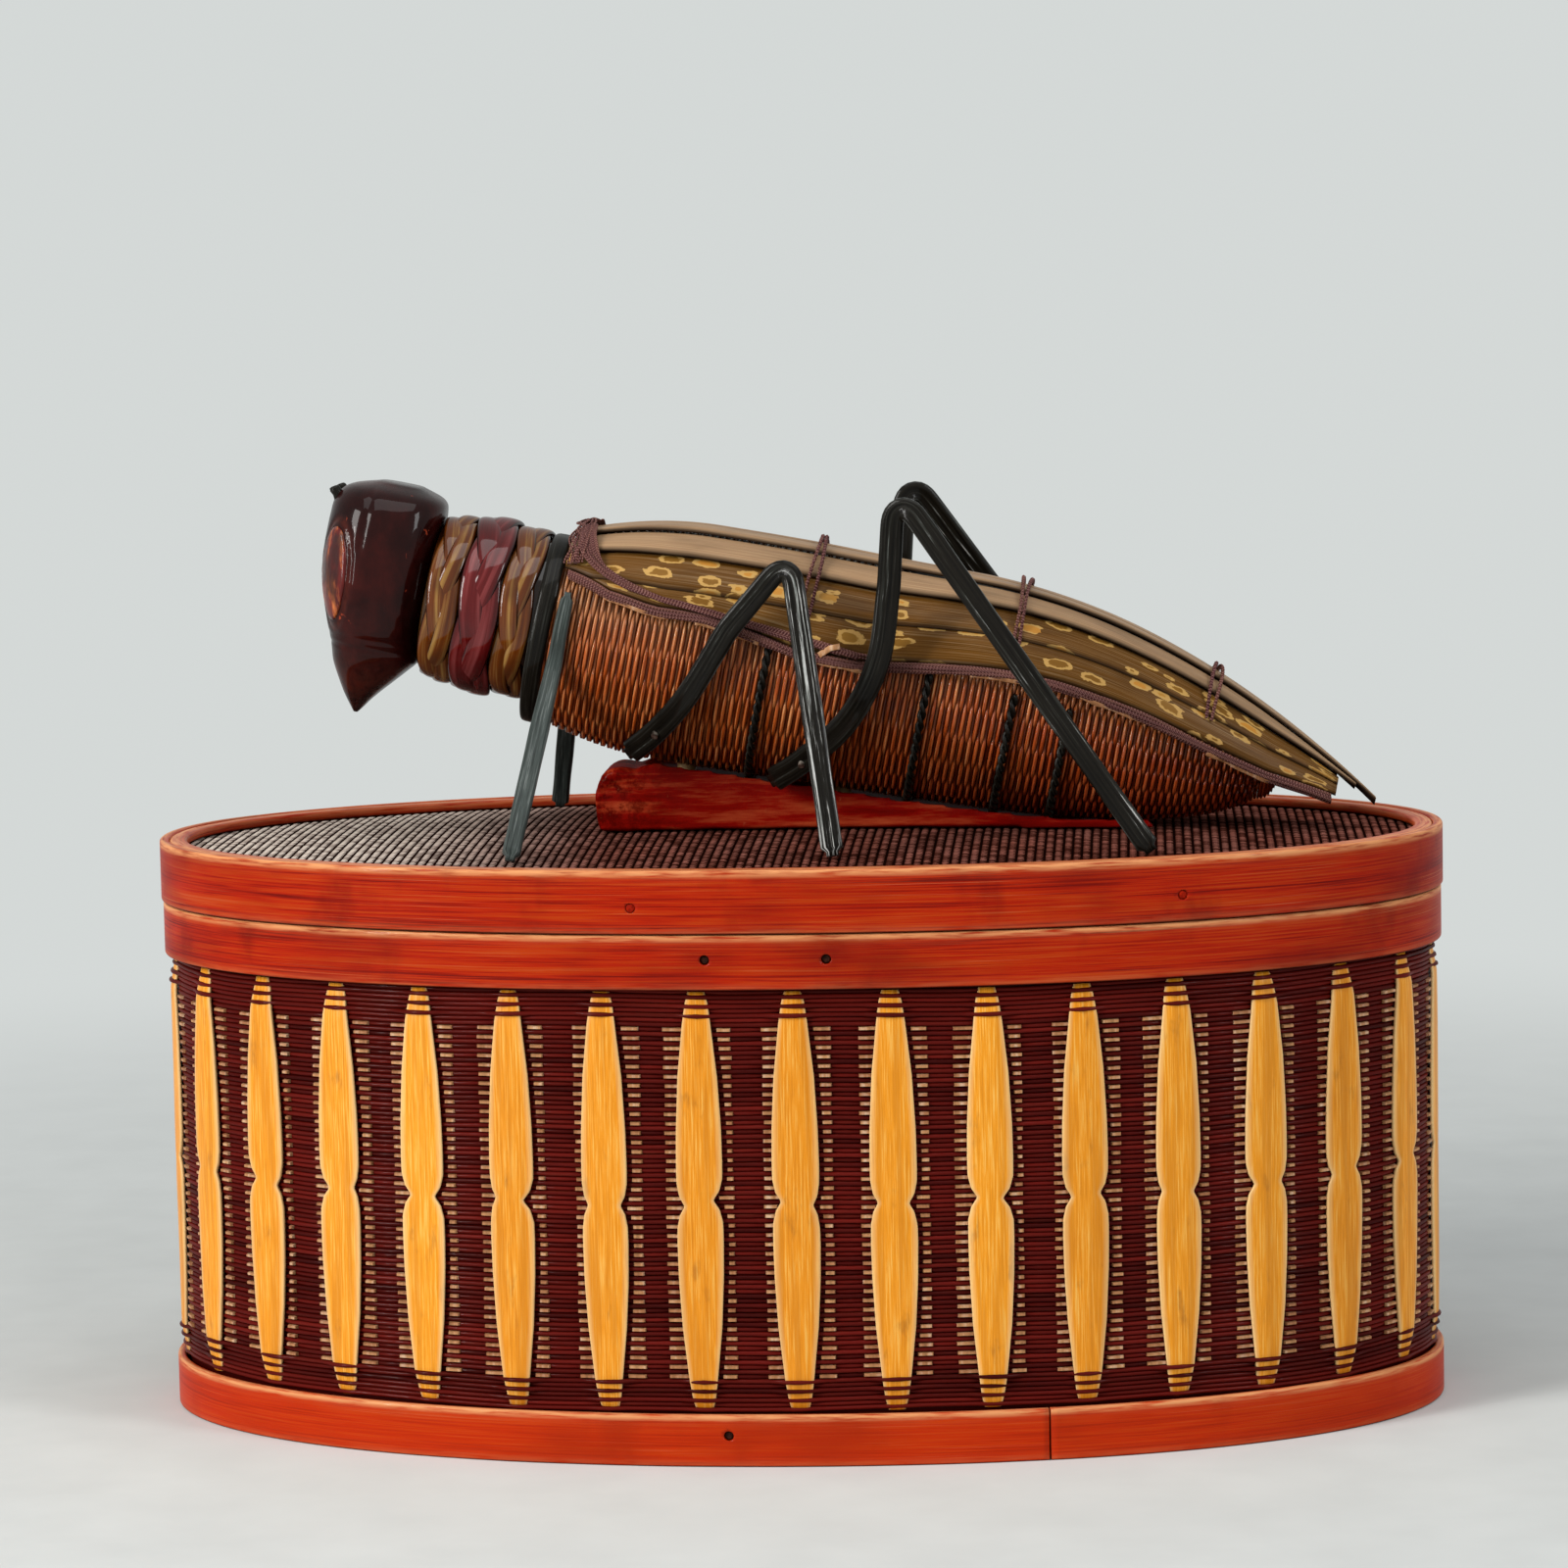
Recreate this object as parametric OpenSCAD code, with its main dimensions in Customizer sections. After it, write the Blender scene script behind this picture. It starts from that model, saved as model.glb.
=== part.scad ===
// Oval woven bamboo box with a lift-off lid; a bamboo cricket on the lid is its handle.
// The origin is the middle of the oval foot, on the table. +X runs along the box to the
// cricket's tail, +Z is up, and -Y is the front. All sizes are in millimetres.

/* [Box] */
// Outside length of the lid band
box_length = 280; // [250:1:310]
// Outside width of the lid band
box_width = 148; // [138:1:165]
// Height from the table to the top of the lid rim
box_height = 125; // [100:1:150]
// Squareness of the oval, where 2 is a true ellipse
oval_power = 2.1; // [2:0.05:2.3]
// Height of the lid band
lid_height = 13.4; // [12.5:0.1:18]
// Height of the band round the mouth of the box
rim_height = 11.6; // [8:0.2:16]
// Height of the foot band
foot_height = 11; // [9:0.2:16]
// How far the collar stands up inside the lid
collar_rise = 7; // [5:0.2:8]

/* [Layers] */
// Thickness of the woven wall
wall_t = 1.8; // [1.4:0.1:2.4]
// Number of grooves between the main courses of weft
weft_courses = 5; // [3:1:7]
// Depth of those grooves
weft_groove = 0.6; // [0.3:0.1:0.8]
// Height of those grooves
weft_gap = 1.8; // [1:0.1:3]
// Thickness of the mouth and foot bands
band_t = 1.8; // [1.4:0.1:2.4]
// Thickness of the inner hoops
hoop_t = 2.4; // [1.8:0.1:3]
// Thickness of the lid's lining hoop
lining_t = 1.4; // [1:0.1:1.8]
// How far the lid band overhangs the mouth band
lid_overhang = 0.4; // [0.1:0.1:0.8]
// Play between the collar and the lid's lining
lid_play = 0.5; // [0.3:0.1:0.8]
// Width of the flat top edge of the lid
rim_show = 6; // [5:0.1:7]
// Height of the floor's underside above the table
floor_lift = 2; // [1:0.1:4]
// Thickness of the floor
floor_t = 2.6; // [1.6:0.1:3.6]
// Gap between the butted ends of a bent band
seam_gap = 0.4; // [0.2:0.1:1]

/* [Lid panel] */
// Thickness of the woven lid panel
panel_t = 1.6; // [1.2:0.1:2]
// Drop of the panel's edge below the lid rim
panel_drop = 2.2; // [1.6:0.1:3]
// Rise of the panel's middle above its edge
panel_dome = 2.6; // [1:0.1:4]

/* [Slats] */
// Number of slats round the wall
slat_count = 34; // [26:1:36]
// Greatest width of a slat
slat_width = 9.7; // [7:0.1:12]
// Thickness of a slat
slat_t = 0.9; // [0.6:0.1:1.2]

/* [Pegs] */
// Diameter of the pegs in the bands
peg_d = 2; // [1.4:0.1:2.6]
// Diameter of the two pegs that hold the cricket
post_d = 4; // [3:0.1:6]
// Diameter of the pins at the hips
pin_d = 1.4; // [1:0.1:1.8]
// Clearance round every peg and pin
peg_fit = 0.1; // [0.05:0.01:0.2]

/* [Cricket body] */
// Length of the woven body
body_length = 161; // [145:1:170]
// Greatest height of the woven body
body_height = 51; // [45:0.5:55]
// Greatest width of the woven body
body_width = 46; // [40:0.5:50]
// Thickness of the woven shell
shell_t = 1.8; // [1.4:0.1:2.6]
// Nose-up lean of the cricket in degrees
lean = 12; // [9:0.5:14]
// Distance from the middle of the box to the front end of the body
body_front = 54; // [46:1:60]
// Clearance between the body and what sits on it
seat = 0.25; // [0.2:0.01:0.4]
// Width of the saddle under the body
wedge_width = 18; // [12:0.5:22]
// Length of the saddle under the body
wedge_length = 121; // [100:1:125]
// Thickness of the saddle at its thin end
wedge_thin = 1; // [0.8:0.1:2]

/* [Head and neck] */
// Length of the neck between the head and the body
neck_length = 26; // [22:0.5:30]
// Greatest radius of the neck's core
neck_radius = 17.2; // [15:0.1:17.6]
// Width of the ochre strips wound on the neck
wrap_width = 2.3; // [1.8:0.1:2.4]
// Width of the red strip wound on the neck
red_width = 3; // [2.4:0.1:3.2]
// Thickness of the wound strips
wrap_t = 1.6; // [1.2:0.1:2]
// Length of the head from front to back
head_length = 24.8; // [22:0.2:28]
// Height of the head from jaw to crown
head_height = 51; // [46:0.5:55]
// Width of the head
head_width = 33; // [28:0.5:36]

/* [Wings] */
// How far the folded wings reach past the end of the body
wing_over = 23; // [18:1:27]
// Thickness of a wing strip
strip_t = 1.2; // [0.8:0.1:1.5]
// Diameter of the cord along the wing edge
cord_d = 2.2; // [1.6:0.1:2.4]
// Diameter of the lashing at the wing roots
lash_d = 1.5; // [1:0.1:1.8]
// Diameter of the tie threads
tie_d = 0.9; // [0.6:0.1:1.2]

/* [Legs] */
// Width of the front leg strips
front_leg_w = 4.2; // [3.4:0.1:4.6]
// Width of the middle leg strips
mid_leg_w = 4.6; // [3.6:0.1:5.2]
// Width of the hind leg strips
hind_leg_w = 4.8; // [3.8:0.1:5.6]
// Thickness of the leg strips
leg_t = 2.2; // [1.6:0.1:2.6]
// Distance of the feet in from the long side of the lid
foot_inset = 24; // [20:0.5:28]
// Height of the hind knees above the lid panel
hind_knee = 75.5; // [70:0.5:80]
// Height of the middle knees above the lid panel
mid_knee = 61; // [56:0.5:66]

/* [Hidden] */
$fn = 48;

// Radial depth of each layer, measured inward from the outside of the lid band
band_in = lid_overhang + band_t;
wall_in = band_in + wall_t;
hoop_in = wall_in + hoop_t;
lining_in = wall_in - lid_play;
lid_band_in = lining_in - lining_t;
// Heights of the joints between the layers
lid_z = box_height - lid_height;
rim_z = lid_z - rim_height;
edge_z = box_height - panel_drop;
floor_top = floor_lift + floor_t;
oval_steps = 144;

// Colours
lacquer = [0.66, 0.17, 0.06];
bamboo = [0.85, 0.63, 0.25];
maroon = [0.25, 0.06, 0.08];
brown = [0.28, 0.17, 0.1];
ochre = [0.55, 0.36, 0.1];
black = [0.16, 0.17, 0.14];
wing_tan = [0.46, 0.35, 0.2];

function clamp(x) = max(0, min(1, x));
function unit(v) = v / norm(v);
function sgn_pow(x, p) = sign(x) * pow(abs(x), p);

// Point of the lid's outside oval at angle t, moved inward by depth along the normal
function oval(t, depth) =
    let (a = box_length / 2)
    let (b = box_width / 2)
    let (p = [a * sgn_pow(cos(t), 2 / oval_power), b * sgn_pow(sin(t), 2 / oval_power)])
    let (nx = sgn_pow(p[0] / a, oval_power - 1) / a)
    let (ny = sgn_pow(p[1] / b, oval_power - 1) / b)
    p - depth * unit([nx, ny]);
function oval_points(depth, n) = [for (i = [0 : n - 1]) oval((i + 0.5) * 360 / n, depth)];

// Arc length round the wall against the angle, to space the slats and pegs evenly
arc_steps = 360;
arc_table = [for (i = 0, s = 0; i <= arc_steps;
    s = s + norm(oval(i + 1, band_in) - oval(i, band_in)), i = i + 1) [s, i]];
arc_total = arc_table[arc_steps][0];
function arc_angle(s) = lookup(s - arc_total * floor(s / arc_total), arc_table);
front_arc = arc_total * 0.75;
back_arc = arc_total * 0.25;

module hoop(depth_out, depth_in, z0, z1) {
    translate([0, 0, z0])
        linear_extrude(height = z1 - z0)
            difference() {
                polygon(oval_points(depth_out, oval_steps));
                polygon(oval_points(depth_in, oval_steps));
            }
}

// Places its children at an arc length on the wall, with local +Z outward and local +Y up
module on_wall(s, depth, z) {
    t = arc_angle(s);
    p = oval(t, depth);
    q = oval(t, depth + 1);
    translate([p[0], p[1], z])
        rotate([0, 0, atan2(p[1] - q[1], p[0] - q[0]) + 90])
            rotate([90, 0, 0])
                children();
}

module peg(s, z, depth_out, depth_in, d) {
    on_wall(s, depth_out, z)
        translate([0, 0, depth_out - depth_in])
            cylinder(h = depth_in - depth_out, d = d);
}

// A cut across one side of a hoop, where the ends of the bent strip meet
module seam(s, z0, z1, depth) {
    on_wall(s, -1, z0 - 1)
        translate([-seam_gap / 2, 0, -depth - 2])
            cube([seam_gap, z1 - z0 + 2, depth + 4]);
}

// Lofts a closed solid through rings that all have the same number of points
module loft(rings) {
    k = len(rings[0]);
    n = len(rings);
    points = [for (r = rings) each r];
    sides = [for (i = [0 : n - 2]) for (j = [0 : k - 1])
        each [[i * k + j, (i + 1) * k + j, (i + 1) * k + (j + 1) % k],
            [i * k + j, (i + 1) * k + (j + 1) % k, i * k + (j + 1) % k]]];
    first = [for (j = [1 : k - 2]) [0, j, j + 1]];
    last = [for (j = [1 : k - 2]) [(n - 1) * k, (n - 1) * k + j + 1, (n - 1) * k + j]];
    polyhedron(points = points, faces = concat(sides, first, last), convexity = 6);
}

// Rings of a section swept along a path; across is the direction of the section's second axis
function sweep(path, sections, across) =
    let (n = len(path) - 1)
    [for (i = [0 : n])
        let (t = unit(path[min(i + 1, n)] - path[max(i - 1, 0)]))
        let (v = unit(across - (across * t) * t))
        let (s = cross(t, v))
        [for (p = sections[i]) path[i] + p[0] * s + p[1] * v]];
function disc(r, k) = [for (j = [0 : k - 1]) [r * cos(j * 360 / k), -r * sin(j * 360 / k)]];
function strip(w, t) = [[-w / 2, -t * 0.3], [-w / 2, t * 0.3], [0, t / 2],
    [w / 2, t * 0.3], [w / 2, -t * 0.3], [0, -t / 2]];
// Smooth curve through points, with m steps between each two
function spline(p, m) =
    let (n = len(p) - 1)
    concat([for (i = [0 : n - 1]) for (j = [0 : m - 1])
        let (a = p[max(i - 1, 0)], b = p[i], c = p[i + 1], d = p[min(i + 2, n)], f = j / m)
        0.5 * (2 * b + (c - a) * f + (2 * a - 5 * b + 4 * c - d) * f * f
            + (3 * b - a - 3 * c + d) * f * f * f)], [p[n]]);

// Lid panel: share of the way from the middle to the bead, and height of the domed top
pan_a = box_length / 2 - rim_show;
pan_b = box_width / 2 - rim_show;
function pan_share(x, y) =
    pow(pow(abs(x) / pan_a, oval_power) + pow(abs(y) / pan_b, oval_power), 1 / oval_power);
function panel_z(x, y) = edge_z + panel_dome * (1 - pow(min(1, pan_share(x, y)), 2));

// Cricket body: profile along its own axis u, which starts at the neck
body_end = 0.985 * body_length;
function body_mid(u) =
    let (t = clamp(u / body_length))
    3 * sin(180 * t) - 2 * pow(t, 4);
function body_swell(u) =
    let (t = clamp(u / body_length))
    (1 - 0.25 * pow(max(0, 1 - t / 0.2), 2)) * pow(1 - pow(t, 3.6), 0.58);
function body_h(u) = body_height / 2 * body_swell(u);
function body_w(u) = body_width / 2 * body_swell(u);
// Point on the body: angle 0 is the top, 90 the right side, 180 the belly
function body_pt(u, a, out) =
    [u, (body_w(u) + out) * sin(a), body_mid(u) + (body_h(u) + out) * cos(a)];
function belly(u) = body_mid(u) - body_h(u);

// Height of the cricket's axis, set so that the belly clears the panel by the saddle's thin end
function belly_x(u) = -body_front + u * cos(lean) + belly(u) * sin(lean);
axis_z = max([for (i = [4 : 40])
    let (u = body_length * i / 42)
    panel_z(belly_x(u), 0) + wedge_thin + u * sin(lean) - belly(u) * cos(lean)]);
function world(p) = [-body_front + p[0] * cos(lean) + p[2] * sin(lean), p[1],
    axis_z - p[0] * sin(lean) + p[2] * cos(lean)];
function local(q) =
    let (dx = q[0] + body_front)
    let (dz = q[2] - axis_z)
    [dx * cos(lean) - dz * sin(lean), q[1], dx * sin(lean) + dz * cos(lean)];
module on_lid() {
    translate([-body_front, 0, axis_z])
        rotate([0, lean, 0])
            children();
}
function body_rings_at(us, out, k) =
    [for (u = us) [for (j = [0 : k - 1]) body_pt(u, -j * 360 / k, out)]];
function stations(a, b, n) = [for (i = [0 : n]) a + (b - a) * i / n];

wing_length = body_length + wing_over;
// Wing envelope: follows the body to its highest point, then runs on level and down to the tip
wing_gap = seat + 0.15;
wing_peak = 0.36 * body_length;
wing_flat = 0.56 * body_length;
function wing_q(u) = pow(max(0, (u - wing_flat) / (wing_length - wing_flat)), 2);
peak_mid = body_mid(wing_peak);
peak_top = peak_mid + body_h(wing_peak) + wing_gap;
function wing_mid(u) = body_mid(min(u, wing_peak)) - 12 * wing_q(u);
function wing_top(u) = body_mid(min(u, wing_peak)) + body_h(min(u, wing_peak)) + wing_gap
    - (peak_top + 3.4) * wing_q(u);
function wing_h(u) = wing_top(u) - wing_mid(u);
function wing_b(u) = (body_w(min(u, wing_peak)) + wing_gap) * (1 - wing_q(u)) + 3 * wing_q(u);
function wing_low(u) = 77 - 8 * max(0, 1 - u / (0.155 * body_length))
    - 11 * sin(180 * clamp((u - 0.43 * body_length) / (0.56 * body_length)))
    - 36 * pow(wing_q(u), 3);
function wing_pt(u, a, out) =
    [u, (wing_b(u) + out) * sin(a), wing_mid(u) + (wing_h(u) + out) * cos(a)];
lap = strip_t + seat + 0.2;
root_u = 2.8;
// One strip: a0 and a1 are the shares of the wing's half angle, o0 and o1 the lift of its edges
function wing_strip(u0, u1, n, a0, a1, o0, o1, om, m) =
    [for (u = stations(u0, u1, n))
        let (w = wing_low(u))
        let (ks = [for (k = [0 : m]) k / m])
        let (lift = [for (f = ks) (o0 + (o1 - o0) * f) + om * 4 * f * (1 - f)])
        concat([for (k = [0 : m]) wing_pt(u, w * (a0 + (a1 - a0) * ks[k]), lift[k])],
            [for (k = [m : -1 : 0]) wing_pt(u, w * (a0 + (a1 - a0) * ks[k]), lift[k] + strip_t)])];

// Neck
neck_w = 2.4;
neck_front = -neck_length;
neck_table = [[neck_front, neck_radius - 1.6], [neck_front * 0.73, neck_radius - 0.6],
    [neck_front * 0.54, neck_radius], [neck_front * 0.3, neck_radius - 0.2], [0, neck_radius - 1]];
function neck_r(u) = lookup(u, neck_table);
// A strip wound round the neck: one unbroken helix with straight ends
function wrap_rings(u0, width, turns) =
    let (pitch = width + turn_gap)
    let (n = round(turns * 24))
    let (spin = [for (i = [0 : n])
        let (u = u0 + width / 2 + pitch * i / 24)
        let (r = neck_r(u) + seat + 0.1 + wrap_t / 2)
        [u, r * sin(i * 15 + 200), neck_w + r * cos(i * 15 + 200)]])
    let (lead = unit(spin[0] - spin[1]))
    let (tail = unit(spin[n] - spin[n - 1]))
    let (path = concat([spin[0] + lead * width], spin, [spin[n] + tail * width]))
    let (m = len(path) - 1)
    [for (i = [0 : m])
        let (t = unit(path[min(i + 1, m)] - path[max(i - 1, 0)]))
        let (o = [0, path[i][1], path[i][2] - neck_w])
        let (v = unit(o - (o * t) * t))
        let (s = cross(t, v))
        [for (p = strip(width, wrap_t)) path[i] + p[0] * s + p[1] * v]];
function least_gap(rings) =
    min([for (i = [0 : len(rings) - 21]) for (j = [i + 20 : len(rings) - 1])
        for (p = rings[i]) for (q = rings[j]) norm(p - q)]);
wrap_gap = 0.5;
wrap_front_u = neck_front + wrap_gap;
front_turns = 1.8;
red_turns = 1.3;
back_turns = 1.6;
turn_gap = 0.6;
wrap_red_u = wrap_front_u + front_turns * (wrap_width + turn_gap) + wrap_width + wrap_gap;
wrap_back_u = wrap_red_u + red_turns * (red_width + turn_gap) + red_width + wrap_gap;

// Head: rows of height share, front share, back share and width share
head_back = neck_front;
head_rows = [[0, 0.5, 0.46, 0.06], [0.09, 0.62, 0.32, 0.4], [0.2, 0.74, 0.12, 0.68],
    [0.28, 0.79, 0, 0.8], [0.4, 0.88, 0, 0.92], [0.53, 0.96, 0, 0.99], [0.66, 1, 0, 1],
    [0.8, 1, 0, 0.96], [0.9, 0.98, 0, 0.85], [0.96, 0.88, 0.04, 0.66], [1, 0.62, 0.24, 0.3]];
head_low = neck_w - 28.5;
function head_ring(r, k) =
    let (u0 = head_back - r[1] * head_length)
    let (u1 = head_back - r[2] * head_length)
    let (z = head_low + r[0] * head_height)
    [for (j = [0 : k - 1])
        let (c = cos(j * 360 / k), s = sin(j * 360 / k))
        [(u0 + u1) / 2 + (u1 - u0) / 2 * sgn_pow(c, c > 0 ? 0.6 : 0.85),
            head_width / 2 * r[3] * sgn_pow(s, 0.8), z]];
eye_r = [2.2, 5, 9.2];
function eye_rings(grow) =
    let (c = [head_back - 0.815 * head_length, -0.35 * head_width, head_low + 0.56 * head_height])
    [for (i = [0 : 8])
        let (b = -84 + i * 21)
        [for (j = [0 : 11])
            let (x = (eye_r[0] + grow) * cos(b) * cos(j * 30))
            let (y = -(eye_r[1] + grow) * cos(b) * sin(j * 30))
            c + [-x * cos(36) - y * sin(36), -x * sin(36) + y * cos(36), (eye_r[2] + grow) * sin(b)]]];
module antenna(side, d) {
    translate([head_back - 0.9 * head_length, side * 0.14 * head_width, head_low + 0.87 * head_height])
        rotate([0, -34, 0])
            cylinder(h = 6.5, d = d);
}

// Legs, drawn for the left side; the right side is their mirror image
leg_across = [0, -1, 0.05];
// End of a leg strip of width w that comes down from a point, so that its lowest corner clears the panel
function on_panel(x, y, from, w) =
    let (t = unit(local([x, y, panel_z(x, y)]) - from))
    let (v = unit(leg_across - (leg_across * t) * t))
    let (s = cross(t, v))
    let (up = [-sin(lean), 0, cos(lean)])
    local([x, y, panel_z(x, y) + seat + w / 2 * abs(s * up) + 0.3 * leg_t * abs(v * up)]);
function knee_arc(a, k, f, r) =
    let (d1 = unit(a - k))
    let (d2 = unit(f - k))
    let (half = acos(d1 * d2) / 2)
    let (axis = unit(d1 + d2))
    let (side = unit(d1 - d2))
    let (c = k + axis * r / sin(half))
    [for (i = [0 : 6])
        let (g = (90 - half) * (1 - i / 3))
        c + r * (-axis * cos(g) + side * sin(g))];
leg_out = seat + leg_t / 2 + 0.65;
hind_out = leg_out + 0.4;
clear_y = -(body_width / 2 + wing_gap + 0.9 + cord_d / 2 + seat + leg_t / 2 + 0.6);
function knee_w(u, rise) =
    let (foot = panel_z(-body_front + u, 0))
    (foot + rise - axis_z + u * sin(lean)) / cos(lean);
foot_spread = box_width / 2 - foot_inset;
// Places along the body, as shares of its length
function share(f) = f * body_length;
mid_pin = [share(0.18), -128];
hind_pin = [share(0.379), -132];
hip_u = share(0.0304);
front_foot = on_panel(-body_front - 3.5, -foot_spread, body_pt(hip_u, -104, leg_out), front_leg_w);
front_path = concat(spline([body_pt(hip_u, -86, leg_out), body_pt(hip_u, -104, leg_out + 0.3),
    body_pt(hip_u, -104, leg_out + 0.3) + 0.3 * (front_foot - body_pt(hip_u, -104, leg_out + 0.3)),
    front_foot], 3), []);
mid_k = [share(0.3137), clear_y - 1, knee_w(share(0.3137), mid_knee)];
mid_foot = on_panel(-body_front + share(0.4006), -foot_spread, mid_k, mid_leg_w);
mid_ctrl = [body_pt(share(0.146), -150, leg_out), body_pt(mid_pin[0], mid_pin[1], leg_out),
    body_pt(share(0.2143), -106, leg_out + 0.2), [share(0.2516), clear_y, 0.196 * body_height]];
mid_path = concat(spline(mid_ctrl, 3), knee_arc(mid_ctrl[3], mid_k, mid_foot, 2.7),
    [0.5 * (mid_k + mid_foot), mid_foot]);
hind_k = [share(0.4311), clear_y - 2, knee_w(share(0.4311), hind_knee)];
hind_foot = on_panel(-body_front + share(0.8137), -foot_spread, hind_k, hind_leg_w);
hind_ctrl = [body_pt(share(0.3416), -153, hind_out), body_pt(hind_pin[0], hind_pin[1], hind_out),
    body_pt(share(0.4286), -106, hind_out + 0.2), [share(0.4547), clear_y, 0.186 * body_height],
    [share(0.4497), clear_y - 0.8, 0.51 * body_height]];
hind_path = concat(spline(hind_ctrl, 3), knee_arc(hind_ctrl[4], hind_k, hind_foot, 2.8),
    [0.5 * (hind_k + hind_foot), hind_foot]);
function leg_sections(path, w, hip, foot) =
    let (n = len(path) - 1)
    [for (i = [0 : n])
        strip(w * (i < n / 2 ? hip + (1 - hip) * 2 * i / n : 1 + (foot - 1) * (2 * i / n - 1)), leg_t)];
module leg(path, w, hip, foot) {
    loft(sweep(path, leg_sections(path, w, hip, foot), leg_across));
}
// A pin through a hip into the shell, along the body's own normal
module hip_pin(at, d) {
    p = body_pt(at[0], at[1], -shell_t + 0.3);
    n = unit([0, sin(at[1]) / body_w(at[0]), cos(at[1]) / body_h(at[0])]);
    translate(p)
        rotate([atan2(-n[1], n[2]), 0, 0])
            cylinder(h = shell_t + hind_out + leg_t / 2 + 0.2, d = d);
}
module both_sides() {
    children();
    mirror([0, 1, 0])
        children();
}
post_x = [-body_front + share(0.1863), -body_front + share(0.3975)];
module posts(d) {
    for (x = post_x)
        let (u = (x + body_front) / cos(lean))
        let (top = world([u, 0, belly(u)])[2] + shell_t + 2)
        let (low = panel_z(x, 0) - panel_t - 0.6)
            translate([x, 0, low])
                cylinder(h = top - low, d = d);
}
peg_bore = peg_d + 2 * peg_fit;
rim_peg_z = rim_z + rim_height * 0.55;
foot_peg_z = foot_height * 0.6;
lid_peg_z = lid_z + lid_height * 0.42;
module rim_pegs(d) {
    for (s = [front_arc - 15, front_arc + 10, back_arc - 15, back_arc + 10])
        peg(s, rim_peg_z, lid_overhang + 0.1, hoop_in, d);
}
module foot_pegs(d) {
    for (s = [front_arc - 12, back_arc - 12])
        peg(s, foot_peg_z, lid_overhang + 0.1, hoop_in, d);
}
module lid_peg_row(d) {
    for (s = [front_arc - 30, front_arc + 84, back_arc - 30, back_arc + 84])
        peg(s, lid_peg_z, 0.1, lining_in, d);
}

// Box
module foot_band() {
    color(lacquer)
        difference() {
            hoop(lid_overhang, band_in, 0, foot_height);
            seam(front_arc + 54.5, 0, foot_height, band_in);
            foot_pegs(peg_bore);
        }
}
module foot_hoop() {
    color(bamboo)
        difference() {
            hoop(wall_in, hoop_in, floor_top, foot_height + 1);
            foot_pegs(peg_bore);
        }
}
module floor_panel() {
    color(brown)
        translate([0, 0, floor_lift])
            linear_extrude(height = floor_t)
                polygon(oval_points(wall_in, oval_steps));
}
// Grooves between the main courses of weft
module weft_grooves() {
    step = (rim_z - foot_height) / weft_courses;
    for (i = [0 : weft_courses - 1])
        let (z = foot_height + (i + 0.5) * step)
            hoop(band_in - 0.5, band_in + weft_groove, z - weft_gap / 2, z + weft_gap / 2);
}
module woven_wall() {
    color(maroon)
        difference() {
            hoop(band_in, wall_in, 1, lid_z - 0.6);
            weft_grooves();
            rim_pegs(peg_bore);
            foot_pegs(peg_bore);
        }
}
// Half outline of a slat: share of its length against share of its width
slat_shape = [[0, 0.38], [0.065, 0.62], [0.2, 0.86], [0.32, 0.97], [0.42, 1], [0.465, 0.9],
    [0.488, 0.74], [0.512, 0.74], [0.535, 0.9], [0.58, 1], [0.68, 0.97], [0.8, 0.86],
    [0.935, 0.62], [1, 0.38]];
slat_lo = foot_height + 0.5;
slat_hi = rim_z - 0.5;
module slat() {
    right = [for (p = slat_shape) [p[1] * slat_width / 2, p[0] * (slat_hi - slat_lo)]];
    left = [for (i = [len(right) - 1 : -1 : 0]) [-right[i][0], right[i][1]]];
    linear_extrude(height = slat_t)
        polygon(concat(right, left));
}
slat_pitch = arc_total / slat_count;
module slats(from, to) {
    for (i = [from : to])
        on_wall(front_arc + (i + 0.145) * slat_pitch, band_in - 0.05, slat_lo)
            slat();
}
slat_half = floor((slat_count - 1) / 4);
module front_slats() {
    color(bamboo)
        slats(-slat_half, slat_half);
}
module back_slats() {
    color(bamboo)
        slats(slat_half + 1, slat_count - slat_half - 1);
}
module rim_band() {
    color(lacquer)
        difference() {
            hoop(lid_overhang, band_in, rim_z, lid_z);
            seam(back_arc + 40, rim_z, lid_z, band_in);
            rim_pegs(peg_bore);
        }
}
module rim_collar() {
    color(bamboo)
        difference() {
            hoop(wall_in, hoop_in, rim_z - 2, lid_z + collar_rise);
            rim_pegs(peg_bore);
        }
}
module box_pegs() {
    color(maroon) {
        rim_pegs(peg_d);
        foot_pegs(peg_d);
    }
}

// Lid
module lid_band() {
    color(lacquer)
        difference() {
            hoop(0, lid_band_in, lid_z, box_height);
            seam(back_arc - 60, lid_z, box_height, lid_band_in);
            lid_peg_row(peg_bore);
        }
}
module lid_lining() {
    color(bamboo)
        difference() {
            hoop(lid_band_in, lining_in, lid_z + 0.3, edge_z - panel_t);
            lid_peg_row(peg_bore);
        }
}
module lid_bead() {
    color(lacquer)
        hoop(lid_band_in, rim_show, edge_z, box_height);
}
pan_n = 72;
pan_rings = 4;
function pan_ring(f, z) = [for (p = oval_points(rim_show, pan_n)) [p[0] * f, p[1] * f, z]];
function pan_layer(drop) = concat(
    [for (i = [1 : pan_rings])
        pan_ring(i / pan_rings, edge_z + panel_dome * (1 - pow(i / pan_rings, 2)) - drop)],
    [[for (p = oval_points(lid_band_in + 0.1, pan_n)) [p[0], p[1], edge_z - drop]]]);
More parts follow.
